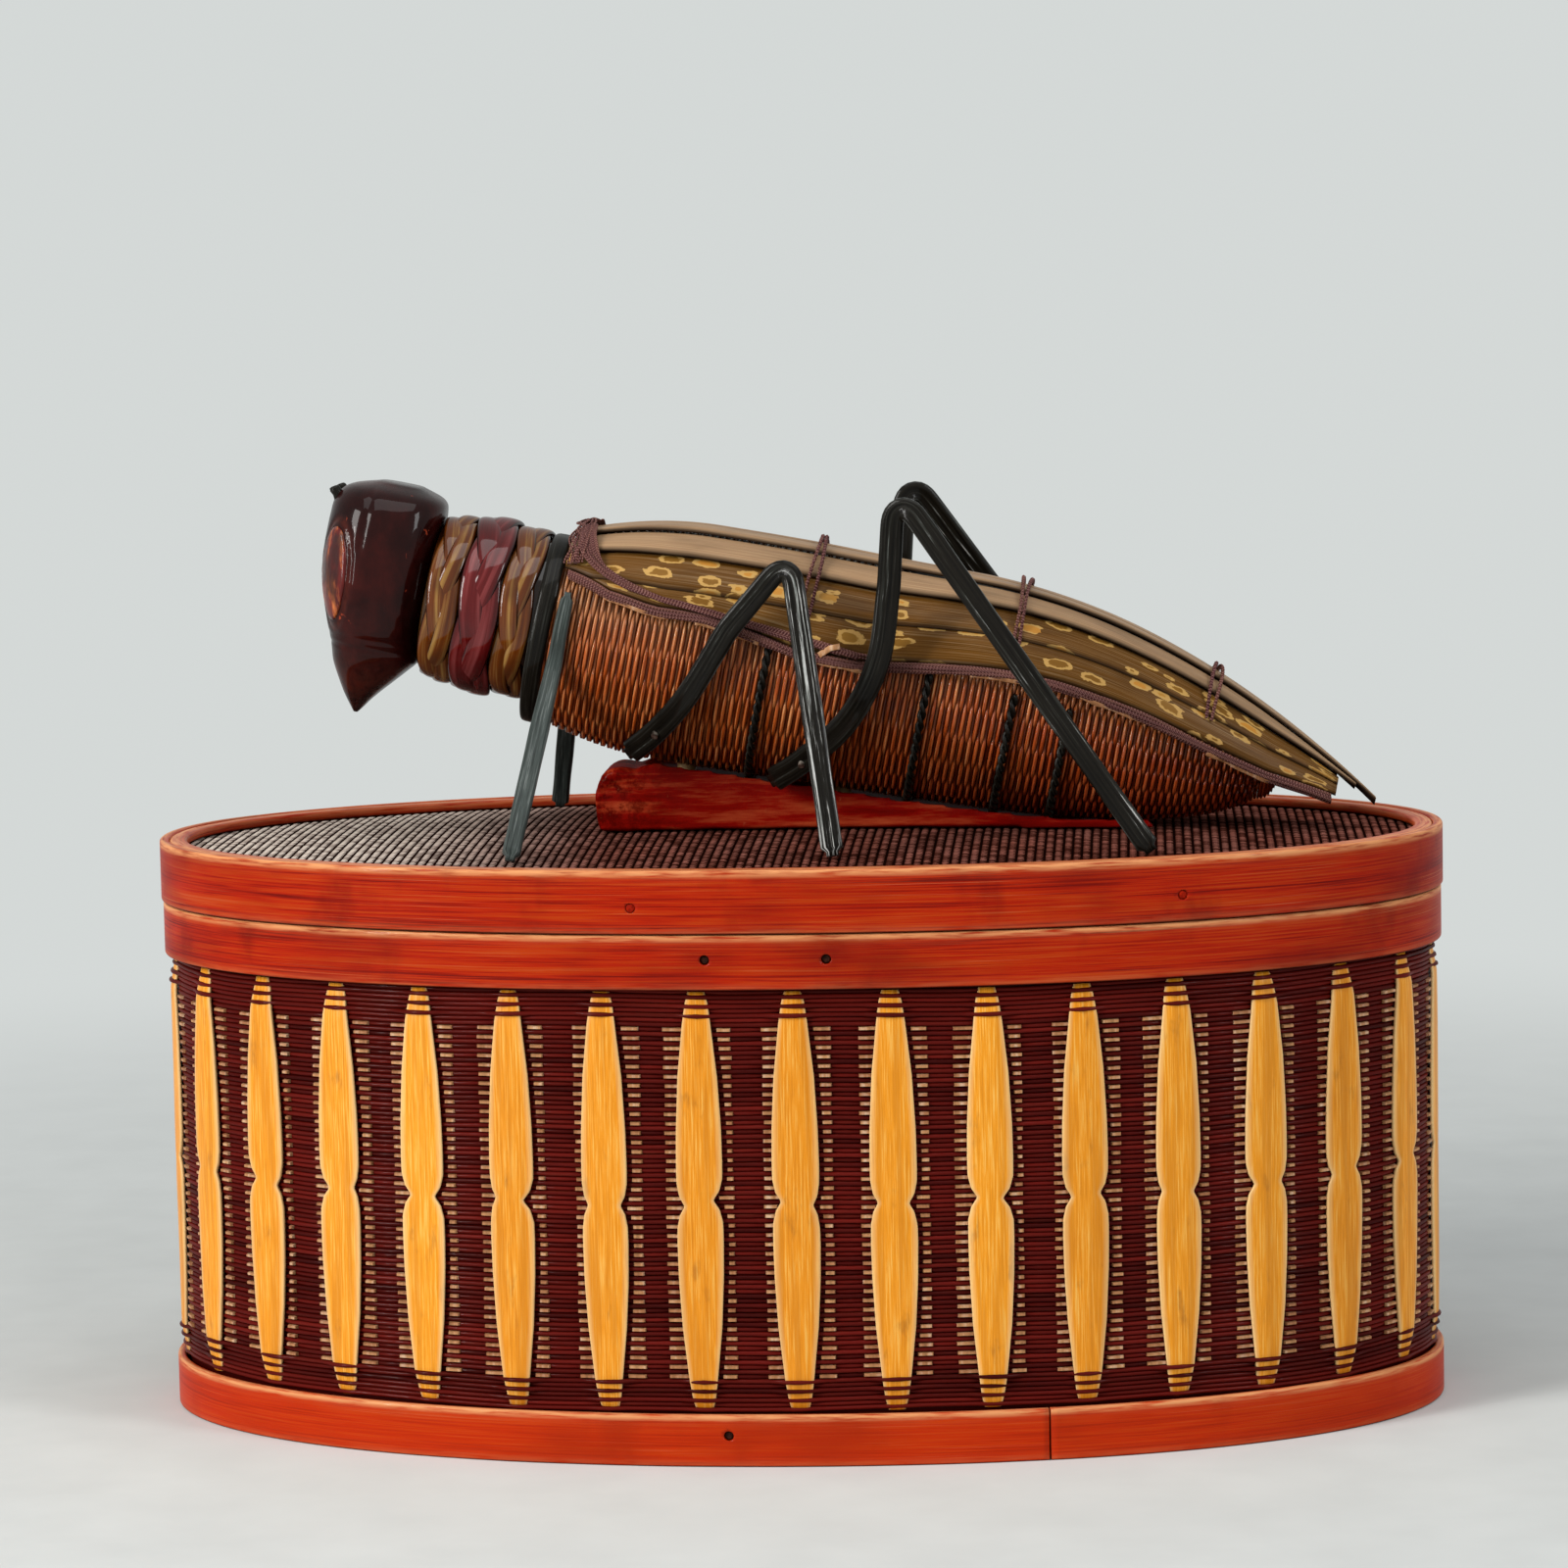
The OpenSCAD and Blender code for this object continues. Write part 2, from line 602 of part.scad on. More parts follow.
module lid_panel() {
    rings = concat(pan_layer(0), [for (i = [pan_rings : -1 : 0]) pan_layer(panel_t)[i]]);
    k = pan_n;
    n = len(rings);
    points = concat([for (r = rings) each r],
        [[0, 0, edge_z + panel_dome], [0, 0, edge_z + panel_dome - panel_t]]);
    sides = [for (i = [0 : n - 2]) for (j = [0 : k - 1])
        each [[i * k + j, (i + 1) * k + (j + 1) % k, (i + 1) * k + j],
            [i * k + j, i * k + (j + 1) % k, (i + 1) * k + (j + 1) % k]]];
    top = [for (j = [0 : k - 1]) [n * k, (j + 1) % k, j]];
    under = [for (j = [0 : k - 1]) [n * k + 1, (n - 1) * k + j, (n - 1) * k + (j + 1) % k]];
    color(brown)
        difference() {
            polyhedron(points = points, faces = concat(sides, top, under), convexity = 4);
            posts(post_d + 2 * peg_fit);
        }
}
module lid_pegs() {
    color(maroon)
        lid_peg_row(peg_d);
}

// Cricket
wedge_x = -body_front + 11;
// The dark rings of the body pass between the body and its saddle
ring_t = 0.9;
cradle = seat + ring_t + 0.3;
module saddle() {
    x1 = wedge_x + wedge_length;
    u0 = (wedge_x + body_front) / cos(lean);
    u1 = (x1 + body_front) / cos(lean);
    rise = world([u0, 0, belly(u0)])[2] - panel_z(wedge_x, 0);
    low = [for (x = stations(wedge_x, x1, 8)) [x, panel_z(x, 0) + 0.05]];
    high = [for (u = stations(u1, u0 + 22, 8))
        let (p = world([u, 0, belly(u) + 3.2]))
        [min(p[0], x1), p[2]]];
    notch = [[wedge_x + 7, panel_z(wedge_x, 0) + rise * 0.66],
        [wedge_x + 2.5, panel_z(wedge_x, 0) + rise * 0.6],
        [wedge_x - 0.6, panel_z(wedge_x, 0) + rise * 0.42]];
    color(lacquer)
        difference() {
            translate([0, wedge_width / 2, 0])
                rotate([90, 0, 0])
                    linear_extrude(height = wedge_width)
                        polygon(concat(low, high, notch));
            on_lid()
                loft(body_rings_at(stations(0, body_end, 20), cradle, 24));
            posts(post_d + 2 * peg_fit);
        }
}
module saddle_posts() {
    color(bamboo)
        posts(post_d);
}
tenon_r = 10;
tenon_len = 9;
module cricket_body() {
    color([0.5, 0.27, 0.08])
        difference() {
            on_lid()
                difference() {
                    loft(body_rings_at(stations(0, body_end, 22), 0, 24));
                    loft(body_rings_at(stations(shell_t + 0.4, body_end - 9, 14), -shell_t, 20));
                    translate([-1, 0, neck_w])
                        rotate([0, 90, 0])
                            cylinder(h = tenon_len + 4, r = tenon_r + peg_fit);
                    both_sides() {
                        hip_pin(mid_pin, pin_d + 2 * peg_fit);
                        hip_pin(hind_pin, pin_d + 2 * peg_fit);
                    }
                }
            posts(post_d + 2 * peg_fit);
        }
}
ring_at = [0.308, 0.524, 0.64, 0.715];
module body_rings() {
    color(maroon)
        on_lid()
            for (f = ring_at)
                loft([for (a = stations(92, 268, 16))
                    let (u = f * body_length)
                    [body_pt(u - 1.2, a, seat), body_pt(u - 1.2, a, seat + 0.5),
                        body_pt(u, a, seat + ring_t), body_pt(u + 1.2, a, seat + 0.5),
                        body_pt(u + 1.2, a, seat)]]);
}
module tail_cap() {
    color([0.2, 0.06, 0.03])
        on_lid()
            loft([for (g = [0, 40, 65, 82])
                [for (j = [0 : 15])
                    [body_end + 0.1 + 3.6 * sin(g), -body_w(body_end) * cos(g) * sin(j * 22.5),
                        body_mid(body_end) + body_h(body_end) * cos(g) * cos(j * 22.5)]]]);
}
function chest_rim(u, out, k) = [for (j = [0 : k - 1]) body_pt(u, j * 360 / k, out)];
module chest_ring() {
    k = 32;
    rows = [chest_rim(-1.6, seat, k), chest_rim(-1.6, seat + 0.8, k), chest_rim(-0.6, seat + 1.5, k),
        chest_rim(1.2, seat + 1.5, k), chest_rim(2.2, seat + 0.8, k), chest_rim(2.2, seat, k)];
    n = len(rows);
    faces = [for (i = [0 : n - 1]) for (j = [0 : k - 1])
        let (i2 = (i + 1) % n, j2 = (j + 1) % k)
        each [[i * k + j, i2 * k + j2, i2 * k + j], [i * k + j, i * k + j2, i2 * k + j2]]];
    color(black)
        on_lid()
            polyhedron(points = [for (r = rows) each r], faces = faces, convexity = 6);
}
head_tenon_r = 7;
head_tenon = 6;
module neck_core() {
    profile = concat([[0, neck_front - head_tenon], [head_tenon_r, neck_front - head_tenon],
        [head_tenon_r, neck_front]], [for (p = neck_table) [p[1], p[0]]],
        [[tenon_r, 0], [tenon_r, tenon_len], [0, tenon_len]]);
    color(ochre)
        on_lid()
            translate([0, 0, neck_w])
                rotate([0, 90, 0])
                    rotate_extrude()
                        polygon(profile);
}
front_rings = wrap_rings(wrap_front_u, wrap_width, front_turns);
red_rings = wrap_rings(wrap_red_u, red_width, red_turns);
back_rings = wrap_rings(wrap_back_u, wrap_width, back_turns);
echo("neck wrap front, least gap between its turns", least_gap(front_rings));
echo("neck wrap red, least gap between its turns", least_gap(red_rings));
echo("neck wrap back, least gap between its turns", least_gap(back_rings));
module neck_wrap_front() {
    color(ochre)
        on_lid()
            loft(front_rings);
}
module neck_wrap_red() {
    color([0.45, 0.08, 0.1])
        on_lid()
            loft(red_rings);
}
module neck_wrap_back() {
    color(ochre)
        on_lid()
            loft(back_rings);
}
module head() {
    color([0.22, 0.05, 0.04])
        on_lid()
            difference() {
                loft([for (r = head_rows) head_ring(r, 24)]);
                translate([head_back - head_tenon - 0.5, 0, neck_w])
                    rotate([0, 90, 0])
                        cylinder(h = head_tenon + 4, r = head_tenon_r + peg_fit);
                both_sides()
                    loft(eye_rings(0.15));
                antenna(-1, 2.4 + 2 * peg_fit);
                antenna(1, 2.4 + 2 * peg_fit);
            }
}
module left_eye() {
    color([0.55, 0.15, 0.08])
        on_lid()
            loft(eye_rings(0));
}
module right_eye() {
    color([0.55, 0.15, 0.08])
        on_lid()
            mirror([0, 1, 0])
                loft(eye_rings(0));
}
module antenna_stubs() {
    color(black)
        on_lid() {
            antenna(-1, 2.4);
            antenna(1, 2.4);
        }
}
ridge_end = wing_length;
shoulder_end = wing_length - 5;
side_end = wing_length - 9;
module wing_ridge() {
    color(wing_tan)
        on_lid()
            loft(wing_strip(root_u, ridge_end, 24, -0.26, 0.26, lap, lap, -lap + 0.5, 6));
}
module shoulder() {
    loft(wing_strip(root_u, shoulder_end, 24, -0.52, -0.22, lap, 0, 0, 4));
}
module side_strip() {
    loft(wing_strip(root_u, side_end, 24, -1, -0.47, 0, 0, 0, 6));
}
module left_wing_shoulder() {
    color(wing_tan)
        on_lid()
            shoulder();
}
module right_wing_shoulder() {
    color(wing_tan)
        on_lid()
            mirror([0, 1, 0])
                shoulder();
}
module left_wing_side() {
    color(wing_tan)
        on_lid()
            side_strip();
}
module right_wing_side() {
    color(wing_tan)
        on_lid()
            mirror([0, 1, 0])
                side_strip();
}
module wing_cord() {
    us = stations(root_u + 1.2, side_end - 1, 34);
    path = [for (u = us)
        wing_pt(u, -wing_low(u) - (cord_d / 2 + seat) / max(4, wing_h(u)) * 180 / PI, 0.9)];
    loft(sweep(path, [for (u = us) disc(cord_d / 2, 6)], [0, 0, 1]));
}
module left_wing_cord() {
    color(maroon)
        on_lid()
            wing_cord();
}
module right_wing_cord() {
    color(maroon)
        on_lid()
            mirror([0, 1, 0])
                wing_cord();
}
// Height of a thread over the lapped strips at a share of the wing's half angle
function thread_out(f, d) = strip_t + seat + d / 2 + lap * clamp((0.72 - abs(f)) / 0.14);
module thread(u, f1, d, n) {
    fs = stations(-f1, f1, n);
    path = [for (f = fs) wing_pt(u, wing_low(u) * f, thread_out(f, d))];
    loft(sweep(path, [for (f = fs) disc(d / 2, 6)], [1, 0, 0]));
}
module wing_lashing() {
    color(maroon)
        on_lid()
            for (i = [0 : 2])
                thread(root_u + 1.4 + i * (lash_d + 0.4), 0.97, lash_d, 18);
}
tie_at = [0.347, 0.627, 0.9];
module wing_ties() {
    color(maroon)
        on_lid()
            for (f = tie_at)
                for (s = [-0.5, 0.5])
                    thread(f * body_length + s * (tie_d + 0.6), 0.62, tie_d, 12);
}
module left_front_leg() {
    color(black)
        on_lid()
            leg(front_path, front_leg_w, 1, 0.9);
}
module right_front_leg() {
    color(black)
        on_lid()
            mirror([0, 1, 0])
                leg(front_path, front_leg_w, 1, 0.9);
}
module middle_leg() {
    difference() {
        leg(mid_path, mid_leg_w, 1.15, 1);
        hip_pin(mid_pin, pin_d + 2 * peg_fit);
    }
}
module hind_leg() {
    difference() {
        leg(hind_path, hind_leg_w, 1.15, 0.95);
        hip_pin(hind_pin, pin_d + 2 * peg_fit);
    }
}
module left_middle_leg() {
    color(black)
        on_lid()
            middle_leg();
}
module right_middle_leg() {
    color(black)
        on_lid()
            mirror([0, 1, 0])
                middle_leg();
}
module left_hind_leg() {
    color(black)
        on_lid()
            hind_leg();
}
module right_hind_leg() {
    color(black)
        on_lid()
            mirror([0, 1, 0])
                hind_leg();
}
module hip_pins() {
    color([0.6, 0.5, 0.4])
        on_lid()
            both_sides() {
                hip_pin(mid_pin, pin_d);
                hip_pin(hind_pin, pin_d);
            }
}

foot_band();
foot_hoop();
floor_panel();
woven_wall();
front_slats();
back_slats();
rim_band();
rim_collar();
box_pegs();
lid_band();
lid_lining();
lid_bead();
lid_panel();
lid_pegs();
saddle();
saddle_posts();
cricket_body();
body_rings();
tail_cap();
chest_ring();
neck_core();
neck_wrap_front();
neck_wrap_red();
neck_wrap_back();
head();
left_eye();
right_eye();
antenna_stubs();
wing_ridge();
left_wing_shoulder();
right_wing_shoulder();
left_wing_side();
right_wing_side();
left_wing_cord();
right_wing_cord();
wing_lashing();
wing_ties();
left_front_leg();
right_front_leg();
left_middle_leg();
right_middle_leg();
left_hind_leg();
right_hind_leg();
hip_pins();
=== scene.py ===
"""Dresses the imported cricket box: an oval woven bamboo box whose lid handle is a bamboo cricket.

Shapes are worked out in millimetres and made in metres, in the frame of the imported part.
"""

import math

import bmesh
import bpy
import numpy as np
from bpy.props import FloatProperty, FloatVectorProperty, IntProperty, PointerProperty
from mathutils import Matrix, Vector


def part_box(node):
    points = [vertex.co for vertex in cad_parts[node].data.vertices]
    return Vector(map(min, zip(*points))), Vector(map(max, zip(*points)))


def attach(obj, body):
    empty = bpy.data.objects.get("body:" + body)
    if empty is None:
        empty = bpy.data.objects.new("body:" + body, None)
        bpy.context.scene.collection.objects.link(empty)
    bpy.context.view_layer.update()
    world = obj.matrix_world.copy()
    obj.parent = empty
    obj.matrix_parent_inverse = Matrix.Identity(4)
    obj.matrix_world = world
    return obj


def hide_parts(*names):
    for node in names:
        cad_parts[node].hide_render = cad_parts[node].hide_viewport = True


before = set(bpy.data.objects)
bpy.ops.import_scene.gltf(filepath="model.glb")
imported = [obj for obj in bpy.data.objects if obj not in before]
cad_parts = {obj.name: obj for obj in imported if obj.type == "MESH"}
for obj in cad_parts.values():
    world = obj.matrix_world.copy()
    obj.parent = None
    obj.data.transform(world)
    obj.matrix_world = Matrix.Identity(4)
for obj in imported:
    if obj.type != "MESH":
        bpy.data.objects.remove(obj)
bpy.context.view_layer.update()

bl_info = {
    "name": "Bamboo cricket box",
    "version": (1, 0, 0),
    "blender": (4, 5, 0),
    "location": "3D View > Sidebar > Cricket box",
    "description": "Dresses the packed woven box and the bamboo cricket on its lid",
    "category": "Object",
}

LID_LO, LID_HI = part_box("lid_band")
_, FOOT_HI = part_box("foot_band")
RIM_LO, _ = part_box("rim_band")
PI = math.pi


# Values a user would change


def srgb(r, g, b):
    """Scene colour of a display colour given from 0 to 255."""
    shares = (r / 255, g / 255, b / 255)
    return tuple(c / 12.92 if c <= 0.04045 else ((c + 0.055) / 1.055) ** 2.4 for c in shares)


def size(name, text, mm):
    return FloatProperty(name=name, description=text, default=mm * 0.001, min=0.0, unit="LENGTH",
                         precision=5)


def tint(name, text, *rgb):
    return FloatVectorProperty(name=name, description=text, default=srgb(*rgb), min=0.0, max=1.0,
                               subtype="COLOR")


class BoxSizes(bpy.types.PropertyGroup):
    """Sizes of the woven box and its bands."""

    length: size("Length", "Outside length of the lid band", round((LID_HI.x - LID_LO.x) * 1000))
    width: size("Width", "Outside width of the lid band", round((LID_HI.y - LID_LO.y) * 1000))
    power: FloatProperty(name="Squareness", description="2 is a true ellipse", default=2.1, min=2.0,
                         max=2.3)
    foot: size("Foot band", "Height of the foot band", FOOT_HI.z * 1000)
    rim: size("Mouth band", "Height of the lower edge of the mouth band", RIM_LO.z * 1000)
    seam: size("Lid joint", "Height of the joint between box and lid", LID_LO.z * 1000)
    top: size("Lid top", "Height of the top edge of the lid", LID_HI.z * 1000)
    row: size("Weft row", "Height of one row of the wall's weft", 0.98)
    slat_width: size("Slat width", "Greatest width of a slat", 9.7)
    slats: IntProperty(name="Slats", description="Number of slats round the wall", default=34, min=26,
                       max=36)


class CricketSizes(bpy.types.PropertyGroup):
    """Sizes of the cricket on the lid."""

    length: size("Body length", "Length of the woven body", 161)
    height: size("Body height", "Greatest height of the woven body", 51)
    width: size("Body width", "Greatest width of the woven body", 46)
    front: size("Front", "Distance from the middle of the box to the front of the body", 54)
    wing: size("Wing length", "Length of the folded wings", 184)
    strand: size("Body strand", "Width of one strand wound round the body", 0.8)
    lean: FloatProperty(name="Lean", description="Nose-up lean", default=math.radians(12), subtype="ANGLE")


class Finishes(bpy.types.PropertyGroup):
    """Colours of the finishes."""

    lacquer: tint("Lacquer", "Red-orange lacquer of the bands", 168, 30, 3)
    lacquer_dark: tint("Old lacquer", "Darker lacquer in the grain of the bands", 106, 10, 3)
    worn: tint("Worn edge", "Pale bamboo where the lacquer is rubbed off", 226, 158, 104)
    weft: tint("Weft", "Maroon weft of the wall", 84, 10, 6)
    stake: tint("Stakes", "Pale stakes that show beside the slats", 184, 132, 88)
    slat: tint("Slats", "Golden varnished slats", 242, 156, 32)
    panel: tint("Lid weave", "Dark weave of the lid panel", 66, 32, 24)
    saddle: tint("Saddle", "Red lacquer of the saddle", 134, 13, 6)
    body: tint("Body strands", "Orange-brown strands at the front of the body", 184, 82, 24)
    tail: tint("Tail strands", "Dark strands at the tail", 150, 52, 20)
    ochre: tint("Ochre strips", "Ochre strips wound on the neck", 98, 46, 6)
    crimson: tint("Crimson strips", "Crimson strips wound on the neck", 86, 8, 10)
    head: tint("Head", "Dark maroon lacquer of the head", 34, 6, 5)
    eye: tint("Eyes", "Worn red of the eyes", 98, 15, 8)
    wing: tint("Wings", "Olive-brown of the wing strips", 104, 67, 22)
    spot: tint("Wing spots", "Ochre spots on the wings", 184, 136, 58)
    thread: tint("Thread", "Maroon thread of the lashings", 92, 40, 44)
    leg: tint("Legs", "Black-green stain of the legs", 24, 21, 16)
    bamboo: tint("Plain bamboo", "Plain bamboo of the inner hoops", 196, 154, 96)


# Shapes in millimetres


class BoxShape:
    """The oval of the box, with depths measured inward from the outside of the lid band."""

    # Depths of the backs of the lower bands, of the lid band and of the bead
    BAND, LID_BAND, SHOW = 2.2, 2.1, 6.0
    # Step from the lid band in to the lower bands
    OVERHANG = 0.4
    # Drop from the lid's top to the edge of its panel, and rise of the panel from there
    DROP, DOME = 2.2, 2.6
    # Gap between the tips of the slats and the bands
    TIP_GAP = 0.5
    # Shift of the slats along the wall, as a share of their spacing
    SLAT_SHIFT = 0.145

    def __init__(self, scene):
        s = scene.cricket_box
        self.a, self.b, self.power = s.length * 500, s.width * 500, s.power
        self.foot, self.rim, self.seam, self.top = (v * 1000 for v in (s.foot, s.rim, s.seam, s.top))
        self.row, self.slat_width, self.slats = s.row * 1000, s.slat_width * 1000, s.slats
        self.low, self.high = self.foot + self.TIP_GAP, self.rim - self.TIP_GAP
        self.edge = self.top - self.DROP
        self.angles = np.linspace(0, 2 * PI, 3601)
        self.arc = run(self.at_angle(self.angles, self.BAND))
        self.total = self.arc[-1]
        self.front, self.back = self.total * 0.75, self.total * 0.25
        place = np.arange(self.slats) - self.slats // 4 + self.SLAT_SHIFT
        self.slat_at = self.front + place * self.total / self.slats

    def at_angle(self, t, depth):
        """Point of the oval at the angle of its equation, moved inward by a depth."""
        c, s, n = np.cos(t), np.sin(t), self.power
        x = self.a * np.sign(c) * np.abs(c) ** (2 / n)
        y = self.b * np.sign(s) * np.abs(s) ** (2 / n)
        nx = np.sign(x) * np.abs(x / self.a) ** (n - 1) / self.a
        ny = np.sign(y) * np.abs(y / self.b) ** (n - 1) / self.b
        steep = np.hypot(nx, ny)
        return np.stack([x - depth * nx / steep, y - depth * ny / steep], -1)

    def at(self, s, depth):
        """Point at an arc length along the wall and a depth below the outside of the lid."""
        return self.at_angle(np.interp(np.mod(s, self.total), self.arc, self.angles), depth)

    def place(self, s, depth, z):
        """Point at an arc length, a depth and a height."""
        s, depth, z = spread(s, depth, z)
        return np.concatenate([self.at(s, depth), z[..., None]], -1)

    def panel_z(self, x, y):
        """Height of the lid panel."""
        a, b = self.a - self.SHOW, self.b - self.SHOW
        share = (np.abs(x / a) ** self.power + np.abs(y / b) ** self.power) ** (1 / self.power)
        return self.edge + self.DOME * (1 - np.minimum(1, share) ** 2)


class CricketShape:
    """The cricket in its own frame: u towards the tail, v across and w up."""

    # Play between pieces, lap of the wing strips and gap between body and wing case
    SEAT, LAP, GAP = 0.25, 1.65, 0.4
    # The wing's front corner is trimmed: shares of its half angle at places along it
    TRIM_U = (2.8, 13.5, 22, 35, 44, 56)
    TRIM_SHARE = (0.66, 0.83, 0.87, 0.885, 0.93, 1)
    # Front end of the wings, height of the neck's axis, and radius of the neck along it
    ROOT, NECK_W = 2.8, 2.4
    NECK = ((-26, 15.6), (-18.98, 16.6), (-14.04, 17.2), (-7.8, 17), (0, 16.2))

    def __init__(self, scene, box):
        s = scene.cricket_body
        self.len, self.h, self.w = s.length * 1000, s.height * 500, s.width * 500
        self.front, self.lean, self.wing_len = s.front * 1000, s.lean, s.wing * 1000
        self.end = 0.985 * self.len
        self.peak, self.flat = 0.36 * self.len, 0.56 * self.len
        u = self.len * np.arange(4, 41) / 42
        belly = self.mid(u) - self.tall(u)
        x = -self.front + u * math.cos(self.lean) + belly * math.sin(self.lean)
        sag = u * math.sin(self.lean) - belly * math.cos(self.lean)
        self.z = float(np.max(box.panel_z(x, 0 * x) + 1 + sag))

    def mid(self, u):
        t = np.clip(u / self.len, 0, 1)
        return 3 * np.sin(PI * t) - 2 * t**4

    def swell(self, u):
        t = np.clip(u / self.len, 0, 1)
        return (1 - 0.25 * np.maximum(0, 1 - t / 0.2) ** 2) * (1 - t**3.6) ** 0.58

    def tall(self, u):
        return self.h * self.swell(u)

    def wide(self, u):
        return self.w * self.swell(u)

    def body(self, u, a, out):
        """Point on the body: angle 0 is the top, -90 the near side and 180 the belly."""
        u, a, out = spread(u, a, out)
        r, half, tall = np.radians(a), self.wide(u) + out, self.tall(u) + out
        return np.stack([u, half * np.sin(r), self.mid(u) + tall * np.cos(r)], -1)

    def q(self, u):
        """How far the wing case has closed in, from 0 at its flat part to 1 at its tip."""
        return np.maximum(0, (u - self.flat) / (self.wing_len - self.flat)) ** 2

    def wing_low(self, u):
        """Half angle of the wing case, smaller at the root, along the flank and at the tip."""
        bay = np.clip((u - 0.43 * self.len) / (0.56 * self.len), 0, 1)
        return 77 - 8 * np.maximum(0, 1 - u / 25) - 11 * np.sin(PI * bay) - 36 * self.q(u) ** 3

    def wing(self, u, a, out):
        """Point on the inside of the wing case, with angles as on the body."""
        u, a, out = spread(u, a, out)
        r, q, near = np.radians(a), self.q(u), np.minimum(u, self.peak)
        mid = self.mid(near) - 12 * q
        drop = float(self.mid(self.peak) + self.tall(self.peak)) + self.GAP + 3.4
        top = self.mid(near) + self.tall(near) + self.GAP - drop * q
        half = (self.wide(near) + self.GAP) * (1 - q) + 3 * q
        return np.stack([u, (half + out) * np.sin(r), mid + (top - mid + out) * np.cos(r)], -1)

    def wing_high(self, u):
        return float(self.wing(u, 0, 0)[2] - self.wing(u, 90, 0)[2])

    def wing_share(self, u):
        """Share of the wing's half angle that its strips reach."""
        return np.interp(u, self.TRIM_U, self.TRIM_SHARE)

    def neck_r(self, u):
        return np.interp(u, *zip(*self.NECK))

    def round_neck(self, u, r, a):
        """Point round the neck's axis, with angles in radians."""
        return np.stack(spread(u, -r * np.sin(a), self.NECK_W + r * np.cos(a)), -1)

    def on_wing(self, u, share, out):
        """Point over the wing case at a share of its half angle, in the part's frame."""
        return self.world(self.wing(u, share * self.wing_low(u), out))

    def world(self, p):
        """Points of the cricket's frame in the part's frame."""
        p = np.asarray(p, float)
        c, s = math.cos(self.lean), math.sin(self.lean)
        x = -self.front + p[..., 0] * c + p[..., 2] * s
        return np.stack([x, p[..., 1], self.z - p[..., 0] * s + p[..., 2] * c], -1)

    def local(self, q):
        """Points of the part's frame in the cricket's frame."""
        q = np.asarray(q, float)
        c, s = math.cos(self.lean), math.sin(self.lean)
        dx, dz = q[..., 0] + self.front, q[..., 2] - self.z
        return np.stack([dx * c - dz * s, q[..., 1], dx * s + dz * c], -1)


def shapes(context):
    """Box, cricket and colours that the scene's values give."""
    box = BoxShape(context.scene)
    return box, CricketShape(context.scene, box), context.scene.cricket_finish


def spread(*values):
    """The values as arrays of one shape."""
    return np.broadcast_arrays(*(np.asarray(v, float) for v in values))


def run(path):
    """Length along a line of points, up to each of them."""
    return np.concatenate([[0], np.cumsum(np.linalg.norm(np.diff(path, axis=0), axis=1))])


def pairs(along, across):
    """Places on a strip, from lengths along it and across it."""
    return np.stack(spread(along, across), -1)


def step(x, low, reach):
    """0 up to low, then rising to 1 over that reach."""
    return np.clip((x - low) / reach, 0, 1)


def bell(x, width):
    return np.exp(-((x / width) ** 2))


def unit(v):
    return v / np.maximum(1e-9, np.linalg.norm(v, axis=-1, keepdims=True))


def wander(x, seed, scale, waves=5):
    """Smooth, repeatable unevenness between about -1 and 1 along x, with waves of about that length."""
    rng = np.random.default_rng(seed)
    total = 0
    for _ in range(waves):
        total = total + np.sin(2 * PI * x / (scale * rng.uniform(0.6, 1.7)) + rng.uniform(0, 2 * PI))
    return total / waves**0.5 / 1.6


def through(points, steps):
    """Smooth curve through points, with that many steps between each two."""
    p = np.asarray(points, float)
    q = np.concatenate([2 * p[:1] - p[1:2], p, 2 * p[-1:] - p[-2:-1]])
    f = (np.arange(steps) / steps)[:, None]
    line = [0.5 * (2 * b + (c - a) * f + (2 * a - 5 * b + 4 * c - d) * f**2 + (3 * b - a - 3 * c + d) * f**3)
            for a, b, c, d in zip(q[:-3], q[1:-2], q[2:-1], q[3:])]
    return np.concatenate(line + [p[-1:]])


def axes(path, up, closed=False):
    """Two axes across a path at each of its points, the second one turned towards up."""
    t = unit(np.roll(path, -1, 0) - np.roll(path, 1, 0) if closed else np.gradient(path, axis=0))
    up = np.broadcast_to(np.asarray(up, float), path.shape)
    v = unit(up - np.sum(up * t, -1, keepdims=True) * t)
    return np.cross(t, v), v


def ply(path, up, r, turn, plies, start=0.0):
    """Paths of the plies of a twisted cord."""
    s, v = axes(path, up)
    for k in range(plies):
        a = 2 * PI * (run(path) / turn + k / plies) + start
        yield path + r * (np.cos(a)[:, None] * s + np.sin(a)[:, None] * v)


def even(path, gap):
    """The same line with points at even distances."""
    along = run(path)
    at = np.linspace(0, along[-1], max(3, int(along[-1] / gap) + 1))
    return np.stack([np.interp(at, along, path[:, k]) for k in range(3)], 1)


def grid(rows, cols, wrap_rows=False, wrap_cols=False):
    """Faces between the points of a grid, which may close on itself either way."""
    i = np.arange(rows if wrap_rows else rows - 1)[:, None]
    j = np.arange(cols if wrap_cols else cols - 1)[None, :]
    i2, j2 = (i + 1) % rows, (j + 1) % cols
    return np.stack([i * cols + j, i * cols + j2, i2 * cols + j2, i2 * cols + j], -1).reshape(-1, 4)


def round_section(r, sides, flat=1.0):
    """Round or flattened section."""
    a = 2 * PI * np.arange(sides) / sides
    return np.stack([r * np.cos(a), -r * flat * np.sin(a)], -1)


